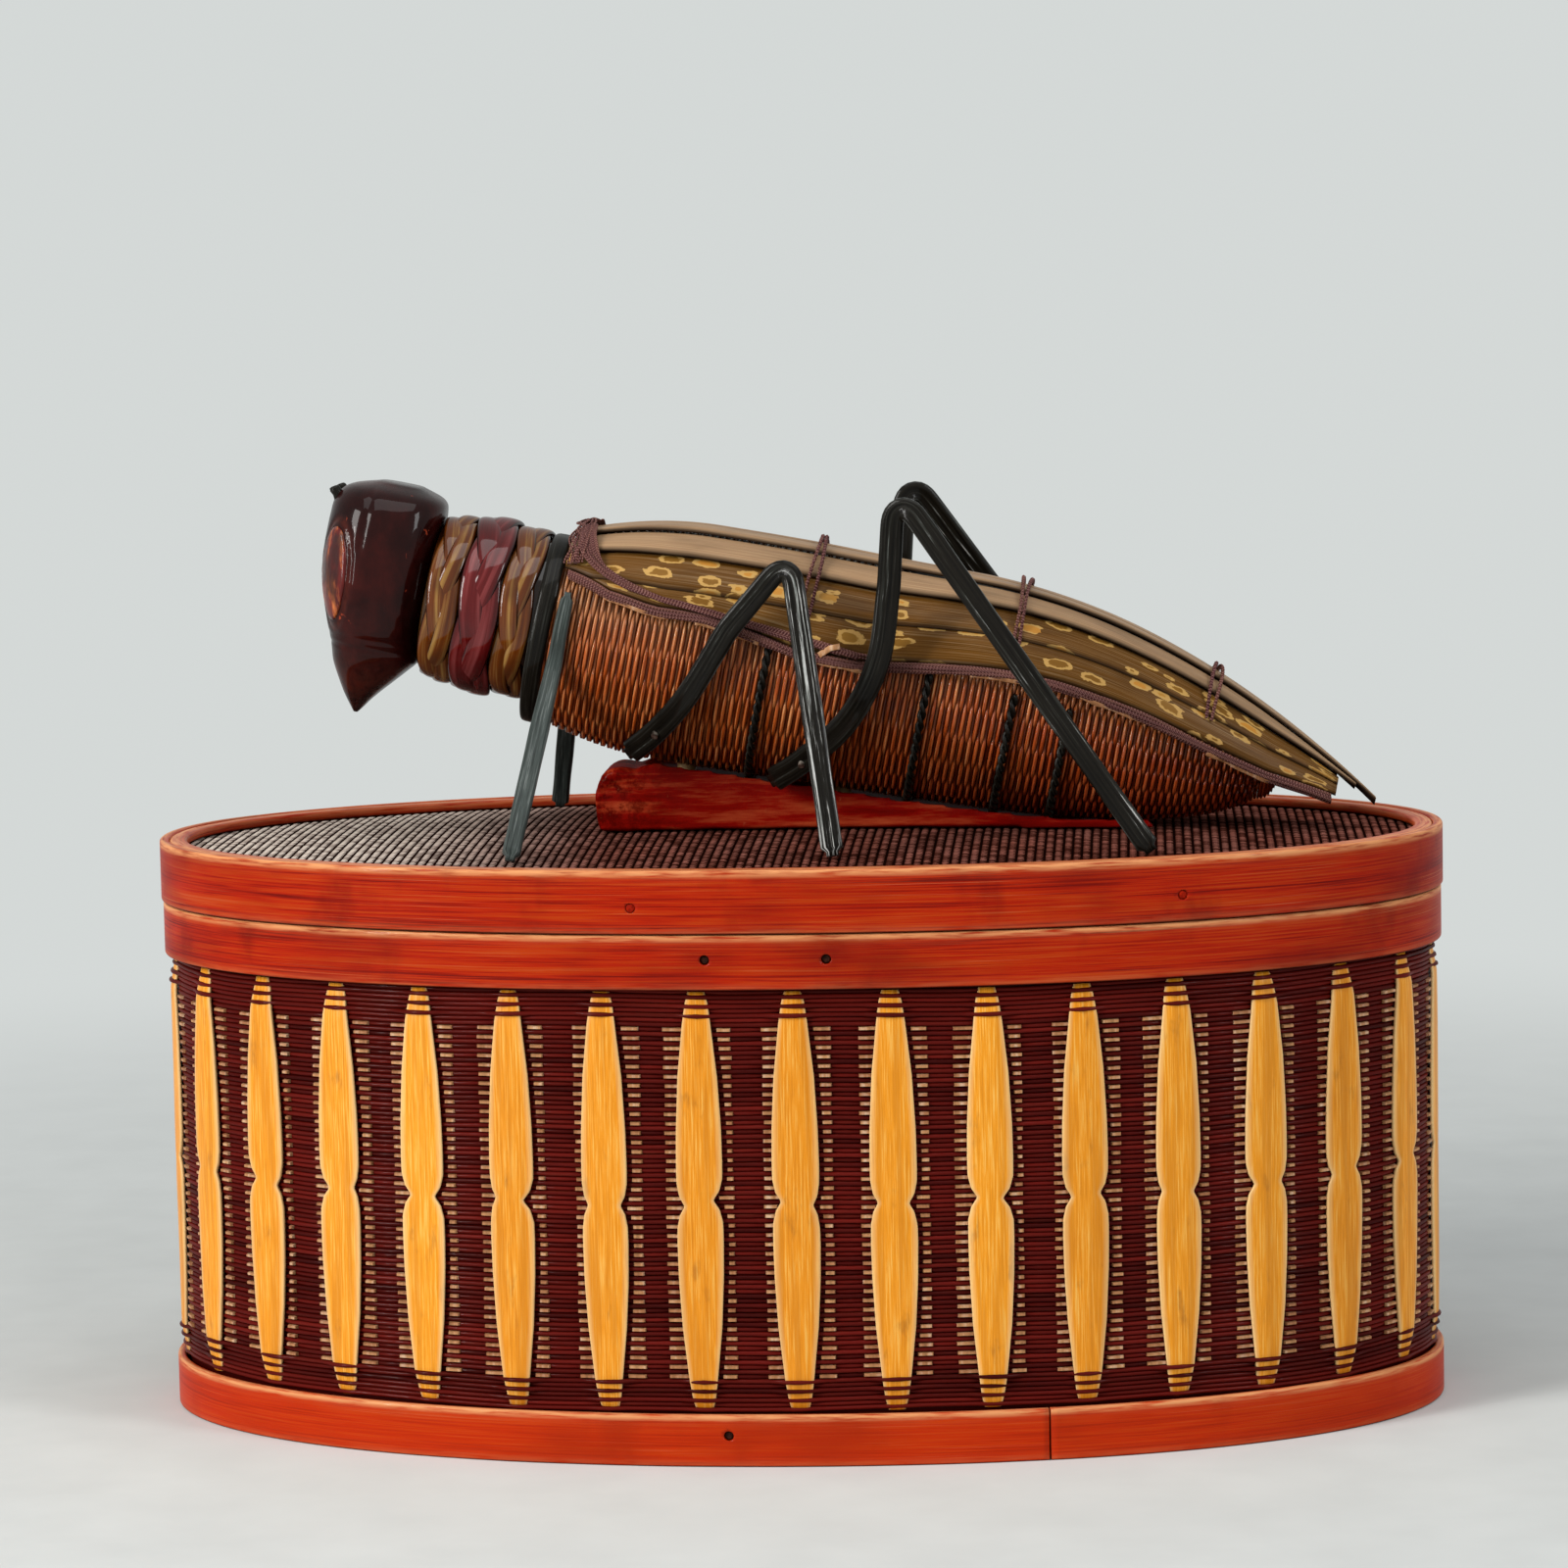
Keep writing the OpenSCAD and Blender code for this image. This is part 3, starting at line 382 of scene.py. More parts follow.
def strip_section(width, thick, sides=14, power=3.0):
    """Flat strip with rounded edges."""
    a = 2 * PI * (np.arange(sides) + 0.5) / sides
    c, s = np.cos(a), np.sin(a)
    return np.stack([np.sign(c) * np.abs(c) ** (2 / power) * width / 2,
                     -np.sign(s) * np.abs(s) ** (2 / power) * thick / 2], -1)


class Piece:
    """Points, faces and finish values of one piece while it is put together, in millimetres."""

    def __init__(self):
        self.points, self.quads, self.rest, self.uv, self.tone, self.wear = [], [], [], [], [], []
        self.mats, self.count = [], 0

    def add(self, points, faces, uv=None, tone=0.5, wear=0.0, caps=(), mat=0):
        points = np.asarray(points, float).reshape(-1, 3)
        n = len(points)
        self.points.append(points)
        self.quads.append(np.asarray(faces, int).reshape(-1, 4) + self.count)
        self.rest.append(([[int(v) + self.count for v in cap] for cap in caps], mat))
        self.mats.append(np.full(len(self.quads[-1]), mat))
        self.uv.append(np.zeros((n, 2)) if uv is None else np.asarray(uv, float).reshape(-1, 2) * 0.1)
        self.tone.append(np.broadcast_to(np.asarray(tone, float).reshape(-1), (n,)))
        self.wear.append(np.broadcast_to(np.asarray(wear, float).reshape(-1), (n,)))
        self.count += n

    def tube(self, rings, uv=None, tone=0.5, wear=0.0, mat=0, closed=False):
        """Rings of points joined into a tube, with two end faces unless it closes on itself."""
        rows, cols = rings.shape[:2]
        tone, wear = (np.broadcast_to(v, (rows, cols)) for v in (tone, wear))
        caps = () if closed else (np.arange(cols), (rows - 1) * cols + np.arange(cols)[::-1])
        self.add(rings, grid(rows, cols, closed, True), uv, tone, wear, caps, mat)

    def strand(self, path, section, up, closed=False, tone=0.5, wear=0.0, mat=0, shift=(0.0, 0.0)):
        """A section carried along a path, its second axis turned towards up."""
        s, v = axes(path, up, closed)
        rings = path[:, None] + section[..., 0:1] * s[:, None] + section[..., 1:2] * v[:, None]
        one = section if section.ndim == 2 else section[len(section) // 2]
        uv = pairs(run(path)[:, None] + shift[0], run(one) + shift[1])
        self.tube(rings, uv, tone, wear, mat, closed)

    def make(self, name, body, slot, *materials, replaces=(), smooth=True):
        """Makes the mesh, with its finish values as attributes, and settles it in the scene."""
        mesh = bpy.data.meshes.new(name)
        faces = np.concatenate(self.quads).tolist()
        index = np.concatenate(self.mats).tolist()
        for caps, mat in self.rest:
            faces += caps
            index += [mat] * len(caps)
        mesh.from_pydata((np.concatenate(self.points) * 0.001).tolist(), [], faces)
        for material in materials:
            mesh.materials.append(material)
        corner = np.empty(len(mesh.loops), int)
        mesh.loops.foreach_get("vertex_index", corner)
        mesh.uv_layers.new(name="lay").data.foreach_set("uv", np.concatenate(self.uv)[corner].ravel())
        for label, values in (("tone", self.tone), ("wear", self.wear)):
            mesh.attributes.new(label, "FLOAT", "POINT").data.foreach_set("value", np.concatenate(values))
        mesh.polygons.foreach_set("material_index", index)
        mesh.polygons.foreach_set("use_smooth", [smooth] * len(faces))
        turn = bmesh.new()
        turn.from_mesh(mesh)
        bmesh.ops.recalc_face_normals(turn, faces=turn.faces)
        turn.to_mesh(mesh)
        turn.free()
        return settle(bpy.data.objects.new(name, mesh), body, slot, replaces)


def settle(obj, body, slot, replaces=()):
    """Puts a new piece in the scene, on its body and in place of the CAD nodes it stands for."""
    if obj.name not in bpy.context.scene.collection.objects:
        bpy.context.scene.collection.objects.link(obj)
    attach(obj, body)
    if replaces:
        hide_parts(*replaces)
    return obj


def applied(obj):
    """Bakes the modifiers of a piece into its mesh."""
    graph = bpy.context.evaluated_depsgraph_get()
    graph.update()
    old = obj.data
    obj.data = bpy.data.meshes.new_from_object(obj.evaluated_get(graph))
    obj.modifiers.clear()
    bpy.data.meshes.remove(old)
    return obj


# Finishes


class Finish:
    """A node material while it is put together."""

    def __init__(self, name, rough=0.5, coat=0.0, coat_rough=0.2, metal=0.0, spec=0.5):
        self.material = bpy.data.materials.new(name)
        self.material.use_nodes = True
        self.tree = self.material.node_tree
        self.shader = self.tree.nodes["Principled BSDF"]
        for socket, value in (("Roughness", rough), ("Coat Weight", coat), ("Coat Roughness", coat_rough),
                              ("Metallic", metal), ("Specular IOR Level", spec)):
            self.shader.inputs[socket].default_value = value

    def node(self, kind, feeds=(), **settings):
        node = self.tree.nodes.new(kind)
        for key, value in settings.items():
            setattr(node, key, value)
        for key, value in dict(feeds).items():
            self.feed(node.inputs[key], value)
        return node

    def feed(self, socket, value):
        if isinstance(value, bpy.types.NodeSocket):
            self.tree.links.new(value, socket)
        elif socket.type == "RGBA":
            socket.default_value = (*tuple(value)[:3], 1.0)
        else:
            socket.default_value = value

    def lay(self, along=1.0, across=1.0):
        """Place on the strip in centimetres, stretched along and across it."""
        uv = self.node("ShaderNodeUVMap", uv_map="lay").outputs["UV"]
        return self.node("ShaderNodeMapping",
                         {"Vector": uv, "Scale": (along, across, 1.0)}).outputs["Vector"]

    def place(self, scale=(1.0, 1.0, 1.0)):
        """Place in the object in metres."""
        here = self.node("ShaderNodeTexCoord").outputs["Object"]
        return self.node("ShaderNodeMapping", {"Vector": here, "Scale": scale}).outputs["Vector"]

    def value(self, name):
        return self.node("ShaderNodeAttribute", attribute_name=name).outputs["Fac"]

    def length(self):
        """Place along the box in metres, from its middle."""
        return self.node("ShaderNodeSeparateXYZ", {"Vector": self.place()}).outputs["X"]

    def noise(self, where, detail, rough=0.55, twist=0.0, scale=1.0):
        feeds = {"Vector": where, "Scale": scale, "Detail": detail, "Roughness": rough, "Distortion": twist}
        return self.node("ShaderNodeTexNoise", feeds).outputs["Fac"]

    def ramp(self, fac, *stops):
        node = self.node("ShaderNodeValToRGB", {"Fac": fac})
        points = node.color_ramp.elements
        while len(points) < len(stops):
            points.new(0.5)
        for point, (at, colour) in zip(points, stops):
            point.position = at
            colour = (colour,) * 3 if isinstance(colour, (int, float)) else tuple(colour)[:3]
            point.color = (*colour, 1.0)
        return node.outputs["Color"]

    def mix(self, fac, a, b, kind="MIX"):
        node = self.node("ShaderNodeMix", data_type="RGBA", blend_type=kind)
        for key, value in ((0, fac), (6, a), (7, b)):
            self.feed(node.inputs[key], value)
        return node.outputs[2]

    def math(self, kind, a, b=0.0, clamp=False):
        node = self.node("ShaderNodeMath", operation=kind, use_clamp=clamp)
        self.feed(node.inputs[0], a)
        self.feed(node.inputs[1], b)
        return node.outputs[0]

    def times(self, a, b):
        return self.math("MULTIPLY", a, b)

    def stain(self, base, where, amount, colour):
        """A base with a colour laid over it, as far as where and amount say."""
        return self.mix(self.times(where, amount), base, colour)

    def between(self, fac, low, high):
        """low where fac is 0 and high where it is 1."""
        feeds = {"Value": fac, "To Min": low, "To Max": high}
        return self.node("ShaderNodeMapRange", feeds).outputs["Result"]

    def tones(self, fac, colour, dark, light, share, at):
        """A colour from a dark share of itself to a share of the way towards a lighter one."""
        return self.ramp(fac, *zip(at, (shade(colour, dark), colour, blend(colour, light, share))))

    def band(self, fac, low, high):
        """0 below low, 1 above high, smooth between."""
        feeds = {"Value": fac, "From Min": low, "From Max": high}
        return self.node("ShaderNodeMapRange", feeds, interpolation_type="SMOOTHSTEP").outputs["Result"]

    def done(self, colour, rough=None, bump=None, depth=0.0002, strength=0.6):
        self.feed(self.shader.inputs["Base Color"], colour)
        if rough is not None:
            self.feed(self.shader.inputs["Roughness"], rough)
        if bump is not None:
            feeds = {"Height": bump, "Strength": strength, "Distance": depth}
            self.feed(self.shader.inputs["Normal"], self.node("ShaderNodeBump", feeds).outputs["Normal"])
        return self.material


def shade(colour, factor):
    return tuple(min(1.0, c * factor) for c in tuple(colour)[:3])


def blend(a, b, share):
    return tuple(x + (y - x) * share for x, y in zip(tuple(a)[:3], tuple(b)[:3]))


def lacquer_finish(hue, lit):
    f = Finish("bright red lacquer on bamboo" if lit else "worn red lacquer on bamboo", coat=0.1,
               coat_rough=0.08, spec=0.03)
    fine = f.noise(f.lay(0.35, 26.0), 5.0, 0.6)
    broad = f.noise(f.lay(0.1, 4.5), 4.0, 0.6)
    cloud = f.noise(f.lay(0.22, 0.5), 3.0)
    grain = f.math("ADD", f.times(fine, 0.55), f.times(broad, 0.45))
    warm = blend(hue.lacquer, (0.5, 0.08, 0.005), 0.4)
    base = f.ramp(grain, (0.37, hue.lacquer_dark), (0.48, hue.lacquer), (0.58, warm),
                  (0.7, blend(hue.lacquer, hue.worn, 0.22)))
    base = f.mix(f.band(cloud, 0.42, 0.72), base, f.mix(0.65, base, hue.lacquer_dark))
    joint = f.band(f.noise(f.lay(0.5, 0.3), 4.0), 0.54, 0.76)
    base = f.stain(base, joint, 0.65, hue.lacquer_dark)
    streak = f.band(f.noise(f.lay(0.12, 34.0), 2.0), 0.66, 0.76)
    base = f.stain(base, streak, 0.5, shade(hue.lacquer_dark, 0.5))
    scratch = f.band(f.noise(f.lay(0.16, 41.0), 2.0), 0.66, 0.74)
    base = f.stain(base, scratch, 0.5, blend(hue.lacquer, hue.worn, 0.5))
    # Lighter lacquer for the foot band: painted light.
    if lit:
        base = f.mix(0.4, base, (0.6, 0.04, 0.002))
    rub = f.times(f.value("wear"), f.band(f.noise(f.lay(0.5, 6.0), 4.0, scale=2.0), 0.26, 0.6))
    base = f.mix(rub, base, f.mix(fine, hue.worn, blend(hue.lacquer, hue.worn, 0.7)))
    # Darker where tone is 1, along the lower edge: painted shadow.
    base = f.stain(base, f.value("tone"), 0.8, shade(hue.lacquer_dark, 0.15))
    return f.done(base, f.between(cloud, 0.3, 0.55), grain, 0.00022, 0.5)


def weft_finish(hue):
    f = Finish("maroon split bamboo weft", coat=0.06, coat_rough=0.08, spec=0.03)
    fibre = f.noise(f.lay(0.5, 60.0), 3.0)
    tone = f.value("tone")
    base = f.mix(tone, shade(hue.weft, 0.4), blend(hue.weft, (0.16, 0.012, 0.008), 0.45))
    base = f.stain(base, f.band(fibre, 0.58, 0.75), 0.45, blend(hue.weft, hue.stake, 0.12))
    return f.done(base, f.between(fibre, 0.26, 0.5), fibre, 0.0001, 0.5)


def stake_finish(hue):
    f = Finish("pale stake bamboo", rough=0.45, spec=0.2)
    fibre = f.noise(f.place((900, 900, 90)), 3.0)
    base = f.tones(fibre, hue.stake, 0.62, (1, 0.86, 0.66), 0.4, (0.3, 0.5, 0.75))
    base = f.mix(f.value("tone"), f.mix(1.0, base, (0.55, 0.38, 0.36), "MULTIPLY"), base)
    return f.done(base, None, fibre, 0.0001, 0.4)


def slat_finish(hue):
    f = Finish("golden varnished bamboo", coat=0.08, coat_rough=0.2, spec=0.15)
    fine = f.noise(f.lay(0.8, 26.0), 5.0, 0.62)
    broad = f.noise(f.lay(0.16, 3.6), 3.0)
    stain = f.noise(f.lay(0.7, 2.2), 4.0, 0.6)
    gold = hue.slat
    base = f.ramp(fine, (0.34, blend(gold, (0.6, 0.2, 0.008), 0.6)), (0.5, gold),
                  (0.66, blend(gold, (1, 0.7, 0.2), 0.5)))
    base = f.stain(base, f.band(broad, 0.48, 0.62), 0.7, blend(gold, (0.56, 0.19, 0.008), 0.6))
    base = f.stain(base, f.band(stain, 0.58, 0.76), 0.6, (0.34, 0.12, 0.016))
    # Pale where wear is high, along the slat's edges: painted edge highlight.
    base = f.stain(base, f.value("wear"), 0.75, (0.88, 0.66, 0.34))
    warm = f.value("tone")
    base = f.mix(1.0, base, f.ramp(warm, (0.0, (0.84, 0.78, 0.7)), (1.0, (1.0, 1.0, 1.0))), "MULTIPLY")
    return f.done(base, f.between(fine, 0.32, 0.5), fine, 0.00012, 0.5)


def bamboo_finish(hue, name, along):
    f = Finish(name, rough=0.55)
    fibre = f.noise(f.place(along), 5.0, 0.6)
    cloud = f.noise(f.place((18, 18, 18)), 3.0)
    base = f.tones(fibre, hue.bamboo, 0.6, (1, 0.85, 0.6), 0.3, (0.3, 0.55, 0.8))
    base = f.stain(base, f.band(cloud, 0.4, 0.7), 0.45, shade(hue.bamboo, 0.5))
    return f.done(base, None, fibre, 0.0002, 0.4)


# Width of a rib of the lid panel and length of a stitch along it
LID_RIB, LID_STITCH = 1.95, 1.75


def panel_finish(hue):
    f = Finish("dark lid weave", rough=0.6, spec=0.0)
    tone = f.value("tone")
    fibre = f.noise(f.lay(3.0, 30.0), 3.0)
    cloud = f.noise(f.lay(0.35, 0.5), 3.0)
    stitches = {"Vector": f.lay(10 / LID_STITCH, 10 / LID_RIB), "Scale": 1.0, "Brick Width": 1.0,
                "Row Height": 1.0, "Mortar Size": 0.16, "Mortar Smooth": 0.7,
                "Color1": (0.6,) * 3, "Color2": (1.0,) * 3, "Mortar": (0.0,) * 3}
    stitch = f.node("ShaderNodeTexBrick", stitches).outputs["Color"]
    # Stitches are lighter where tone is high, on their crests, and near black in the mortar between them:
    # painted highlight and painted shade.
    high = f.times(f.math("ADD", tone, 0.1), stitch)
    # Lighter stitches towards the left end of the lid: painted light from the left.
    painted_left_light = f.band(f.length(), -0.035, -0.1)
    base = f.ramp(high, (0.1, shade(hue.panel, 0.06)), (0.44, shade(hue.panel, 0.8)),
                  (0.9, blend(hue.panel, (0.44, 0.17, 0.13), 0.85)))
    base = f.stain(base, f.band(cloud, 0.35, 0.7), 0.5, f.mix(1.0, base, (0.9, 0.62, 0.5), "MULTIPLY"))
    base = f.stain(base, painted_left_light, f.band(high, 0.25, 0.75), (0.74, 0.65, 0.56))
    base = f.stain(base, fibre, 0.35, shade(hue.panel, 0.5))
    return f.done(base, None, f.math("ADD", f.times(fibre, 0.2), stitch), 0.0004, 0.8)


def saddle_finish(hue):
    f = Finish("red lacquered saddle", rough=0.5, coat=0.05, coat_rough=0.15, spec=0.0)
    grain = f.noise(f.place((45, 300, 420)), 5.0, 0.65)
    pits = f.noise(f.place((420, 420, 420)), 4.0, 0.7)
    front = f.band(f.length(), -0.02, -0.04)
    base = f.tones(grain, hue.saddle, 0.42, (0.62, 0.13, 0.04), 0.5, (0.28, 0.5, 0.74))
    base = f.stain(base, front, f.band(pits, 0.4, 0.66), shade(hue.saddle, 0.35))
    base = f.stain(base, f.band(pits, 0.66, 0.8), 0.6, blend(hue.saddle, hue.worn, 0.4))
    return f.done(base, f.band(pits, 0.1, 0.95), pits, 0.0005, 0.55)


def body_finish(hue):
    f = Finish("woven body strands", coat=0.4, coat_rough=0.12, spec=0.06)
    tone, depth = f.value("tone"), f.value("wear")
    fibre = f.noise(f.lay(0.9, 40.0), 4.0)
    patch = f.noise(f.place((55, 80, 80)), 3.0)
    front = f.ramp(fibre, (0.3, shade(hue.body, 0.26)), (0.5, shade(hue.body, 0.92)),
                   (0.66, blend(hue.body, (0.7, 0.36, 0.14), 0.85)))
    back = f.tones(fibre, hue.tail, 0.5, hue.body, 0.5, (0.3, 0.6, 0.85))
    mixed = f.math("ADD", tone, f.times(f.math("SUBTRACT", patch, 0.5), 0.5), clamp=True)
    base = f.mix(mixed, front, back)
    # Pale tan where tone is below 0, on the upper strands: painted light on top of the body.
    tan = (0.58, 0.31, 0.14)
    pale = f.ramp(fibre, (0.3, shade(tan, 0.4)), (0.5, shade(tan, 0.8)), (0.66, tan))
    base = f.mix(f.math("MULTIPLY", tone, -1.25, clamp=True), base, pale)
    # Darker where wear (deep) is high, where strands dive under: painted shade.
    base = f.stain(base, depth, 0.52, shade(hue.tail, 0.1))
    return f.done(base, f.between(fibre, 0.25, 0.5), fibre, 0.0001, 0.5)


def cane_finish(name, colour, dark, light):
    f = Finish(name, coat=0.7, coat_rough=0.08, spec=0.0)
    fibre = f.noise(f.lay(0.25, 8.0), 4.0)
    cloud = f.noise(f.lay(0.5, 1.2), 3.0)
    base = f.ramp(fibre, (0.26, dark), (0.5, colour), (0.78, light))
    base = f.stain(base, f.band(cloud, 0.42, 0.68), 0.75, dark)
    # Darker where wear is high: on the edges of the strips and on the core rod, as painted shade.
    base = f.mix(f.value("wear"), base, shade(dark, 0.3))
    return f.done(base, f.between(fibre, 0.18, 0.36), fibre, 0.0001, 0.3)


def head_finish(hue):
    f = Finish("carved head lacquer", coat=0.28, coat_rough=0.03, spec=0.02)
    cloud = f.noise(f.place((90, 90, 70)), 4.0, 0.6)
    chips = f.noise(f.place((260, 260, 160)), 3.0, 0.55, 0.6)
    scuff = f.noise(f.place((500, 500, 140)), 5.0, 0.7)
    base = f.tones(cloud, hue.head, 0.35, (0.1, 0.01, 0.007), 0.3, (0.3, 0.52, 0.75))
    base = f.stain(base, f.band(chips, 0.69, 0.74), 0.9, (0.36, 0.05, 0.02))
    base = f.stain(base, f.value("wear"), f.band(scuff, 0.3, 0.6), (0.4, 0.065, 0.03))
    return f.done(base, f.between(scuff, 0.16, 0.42), scuff, 0.00025, 0.35)


def eye_finish(hue):
    f = Finish("worn red eye", coat=0.35, coat_rough=0.06, spec=0.15)
    streak = f.noise(f.place((420, 420, 90)), 5.0, 0.65)
    cloud = f.noise(f.place((160, 160, 90)), 3.0)
    base = f.tones(streak, hue.eye, 0.35, (0.75, 0.22, 0.05), 0.75, (0.3, 0.5, 0.68))
    base = f.stain(base, f.band(cloud, 0.44, 0.6), 0.9, shade(hue.head, 1.6))
    return f.done(base, f.band(streak, -0.4, 1.6), streak, 0.0002, 0.3)


def wing_finish(hue, spotted):
    f = Finish("spotted wing bamboo" if spotted else "plain wing bamboo", coat=0.05, coat_rough=0.2,
               spec=0.06)
    fibre = f.noise(f.lay(0.3, 34.0), 4.0, 0.6)
    cloud = f.noise(f.lay(0.45, 2.0), 4.0)
    tan = blend(hue.wing, (0.46, 0.29, 0.165), 0.0 if spotted else 0.7)
    base = f.tones(fibre, tan, 0.55, (0.55, 0.44, 0.26), 0.4, (0.25, 0.5, 0.78))
    base = f.stain(base, f.band(cloud, 0.4, 0.7), 0.55, shade(tan, 0.45))
    if spotted:
        feeds = {"Vector": f.lay(3.0, 4.4), "Scale": 1.0, "Detail": 3.0, "Roughness": 0.6}
        warp = f.node("ShaderNodeTexNoise", feeds).outputs["Color"]
        here = f.node("ShaderNodeMix", {0: 0.5, 4: f.lay(2.3, 4.6), 5: warp}, data_type="VECTOR")
        feeds = {"Vector": here.outputs[1], "Scale": 1.0, "Randomness": 0.8, "Exponent": 2.8}
        cells = f.node("ShaderNodeTexVoronoi", feeds, voronoi_dimensions="2D", distance="MINKOWSKI")
        pick = f.node("ShaderNodeSeparateColor", {"Color": cells.outputs["Color"]})
        reach = f.times(f.math("ADD", pick.outputs[1], 0.9), 0.22)
        gap = f.math("SUBTRACT", reach, cells.outputs["Distance"])
        on = f.math("GREATER_THAN", pick.outputs[0], 0.36)
        inside = f.times(f.band(gap, 0.0, 0.025), on)
        core = f.times(f.band(gap, 0.12, 0.16), on)
        rim = blend(hue.spot, (0.6, 0.42, 0.18), 0.35)
        faint, fuller = (blend(hue.wing, hue.spot, share) for share in (0.15, 0.3))
        fill = f.ramp(pick.outputs[2], (0.0, faint), (0.5, fuller), (0.52, shade(hue.spot, 0.85)),
                      (0.7, (0.5, 0.22, 0.035)))
        base = f.mix(inside, base, f.mix(core, rim, fill))
        base = f.mix(0.3, base, f.mix(1.0, base, f.ramp(fibre, (0.3, 0.55), (0.7, 1.0)), "MULTIPLY"))
    # Near black where wear is high, on the undersides and edges of the strips: painted shade.
    base = f.mix(f.value("wear"), base, (0.02, 0.012, 0.008))
    return f.done(base, f.between(fibre, 0.34, 0.55), fibre, 0.00012, 0.5)


def thread_finish(hue):
    f = Finish("maroon thread", rough=0.7, spec=0.15)
    feeds = {"Vector": f.lay(9.0, 3.0), "Scale": 1.0, "Distortion": 1.0, "Detail": 2.0}
    twist = f.node("ShaderNodeTexWave", feeds, bands_direction="DIAGONAL").outputs["Fac"]
    fuzz = f.noise(f.place((900, 900, 900)), 3.0)
    base = f.tones(twist, hue.thread, 0.35, (0.42, 0.26, 0.22), 0.45, (0.1, 0.6, 0.95))
    base = f.stain(base, fuzz, 0.5,
                   f.mix(f.value("tone"), shade(hue.thread, 0.4), blend(hue.thread, (0.4, 0.2, 0.1), 0.5)))
    return f.done(base, None, twist, 0.0002, 0.6)


def leg_finish(hue):
    f = Finish("black stained bamboo", coat=0.14, coat_rough=0.1, spec=0.05)
    fine = f.noise(f.lay(0.3, 13.0), 5.0, 0.66)
    glint = f.noise(f.lay(0.6, 17.0), 4.0, 0.7)
    base = f.ramp(fine, (0.36, shade(hue.leg, 0.25)), (0.56, hue.leg), (0.7, (0.045, 0.048, 0.042)))
    # white is the colour of painted highlight streaks and green of a grey-green painted sheen; rubbed picks
    # between them by tone, and bare is where they show.
    green = f.ramp(glint, (0.35, (0.018, 0.023, 0.021)), (0.55, (0.05, 0.062, 0.057)),
                   (0.72, (0.2, 0.22, 0.21)))
    white = f.ramp(glint, (0.36, (0.1, 0.11, 0.1)), (0.5, (0.42, 0.43, 0.41)), (0.62, (0.72, 0.72, 0.7)))
    rubbed = f.mix(f.band(f.value("tone"), 0.75, 0.85), white, green)
    bare = f.math("ADD", fine, f.times(f.math("SUBTRACT", f.value("tone"), 0.5), 0.8))
    base = f.mix(f.band(bare, 0.66, 0.74), base, rubbed)
    base = f.stain(base, f.value("wear"), f.band(fine, 0.46, 0.66), (0.13, 0.14, 0.13))
    return f.done(base, f.between(fine, 0.22, 0.5), fine, 0.0003, 0.6)


def peg_finish(hue, lacquered):
    f = Finish("lacquered peg end" if lacquered else "dark peg end", rough=0.6, spec=0.05)
    fibre = f.noise(f.place((1600, 1600, 1600)), 3.0)
    plain = ((0.008, 0.004, 0.003), (0.06, 0.02, 0.012))
    low, high = (hue.lacquer_dark, hue.lacquer) if lacquered else plain
    return f.done(f.ramp(fibre, (0.3, low), (0.7, high)), None, fibre, 0.0003, 0.6)


def wire_finish():
    f = Finish("dull wire", metal=1.0)
    stain = f.noise(f.place((700, 700, 700)), 4.0)
    return f.done(f.ramp(stain, (0.35, (0.16, 0.12, 0.09)), (0.65, (0.56, 0.5, 0.42))),
                  f.band(stain, -0.2, 1.4), stain, 0.0001, 0.4)


MADE = {}


def finish(make, *values):
    """One shared material for each finish and set of values."""
    key = (make.__name__, *(v for v in values if isinstance(v, (str, bool))))
    if key not in MADE:
        MADE[key] = make(*values)
    return MADE[key]


# Box


# Rounding of the edges of a band, and how far down its face the rubbing reaches
BAND_ROUND, RUB_REACH = 0.55, 0.7


def band_outline(d0, d1, z0, z1, r, face=9):
    """Closed outline of a bent band in depth and height, and how much each point is rubbed."""
    points, rub = [], []
    corners = ((d0 + r, z0 + r, 270, 0.15), (d0 + r, z1 - r, 180, 1.0),
               (d1 - r, z1 - r, 90, 0.3), (d1 - r, z0 + r, 0, 0.1))
    for i, (d, z, start, wear) in enumerate(corners):
        for k in range(5):
            a = math.radians(start - k * 22.5)
            points.append((d + r * math.cos(a), z + r * math.sin(a)))
            rub.append(wear)
        if i == 0:
            for at in np.linspace(z0 + r, z1 - r, face + 2)[1:-1]:
                points.append((d0, at))
                rub.append(0.25 * math.exp(-(z1 - at - r) / RUB_REACH)
                           + 0.1 * math.exp(-(at - z0 - r) / RUB_REACH))
    return np.array(points), np.array(rub)


def bent_band(piece, box, d0, d1, z0, z1, seam, gap=0.4, steps=440, seed=1, r=BAND_ROUND):
    """A band bent round the oval between two depths and two heights, butted at its seam."""
    outline, rub = band_outline(d0, d1, z0, z1, r)
    depth, high = outline.T
    s = np.linspace(seam + gap / 2, seam + box.total - gap / 2, steps)
    sway = 0.07 * wander(s, seed, 70)[:, None]
    lift = 0.06 * wander(s, seed + 1, 110)[:, None] * np.isclose(high, z1, atol=r)
    rings = box.place(s[:, None], depth + np.abs(sway), high - np.abs(lift))
    uv = pairs(s[:, None] + seed * 37.0, run(outline) + seed * 13.0)
    # tone is 1 along the lower edge, which the lacquer finish darkens: painted shadow under the band.
    piece.tube(rings, uv, np.where(high < z0 + 0.6 * r, 1.0, 0.0), rub)


def outward(box, s, z):
    """Place on the outside of the oval, with local Z outward."""
    p, q = box.at(s, 0.0), box.at(s, 1.0)
    n = Vector((p[0] - q[0], p[1] - q[1], 0)).normalized()
    turn = n.to_track_quat("Z", "Y").to_matrix().to_4x4()
    return Matrix.Translation(Vector((p[0], p[1], z)) * 0.001) @ turn


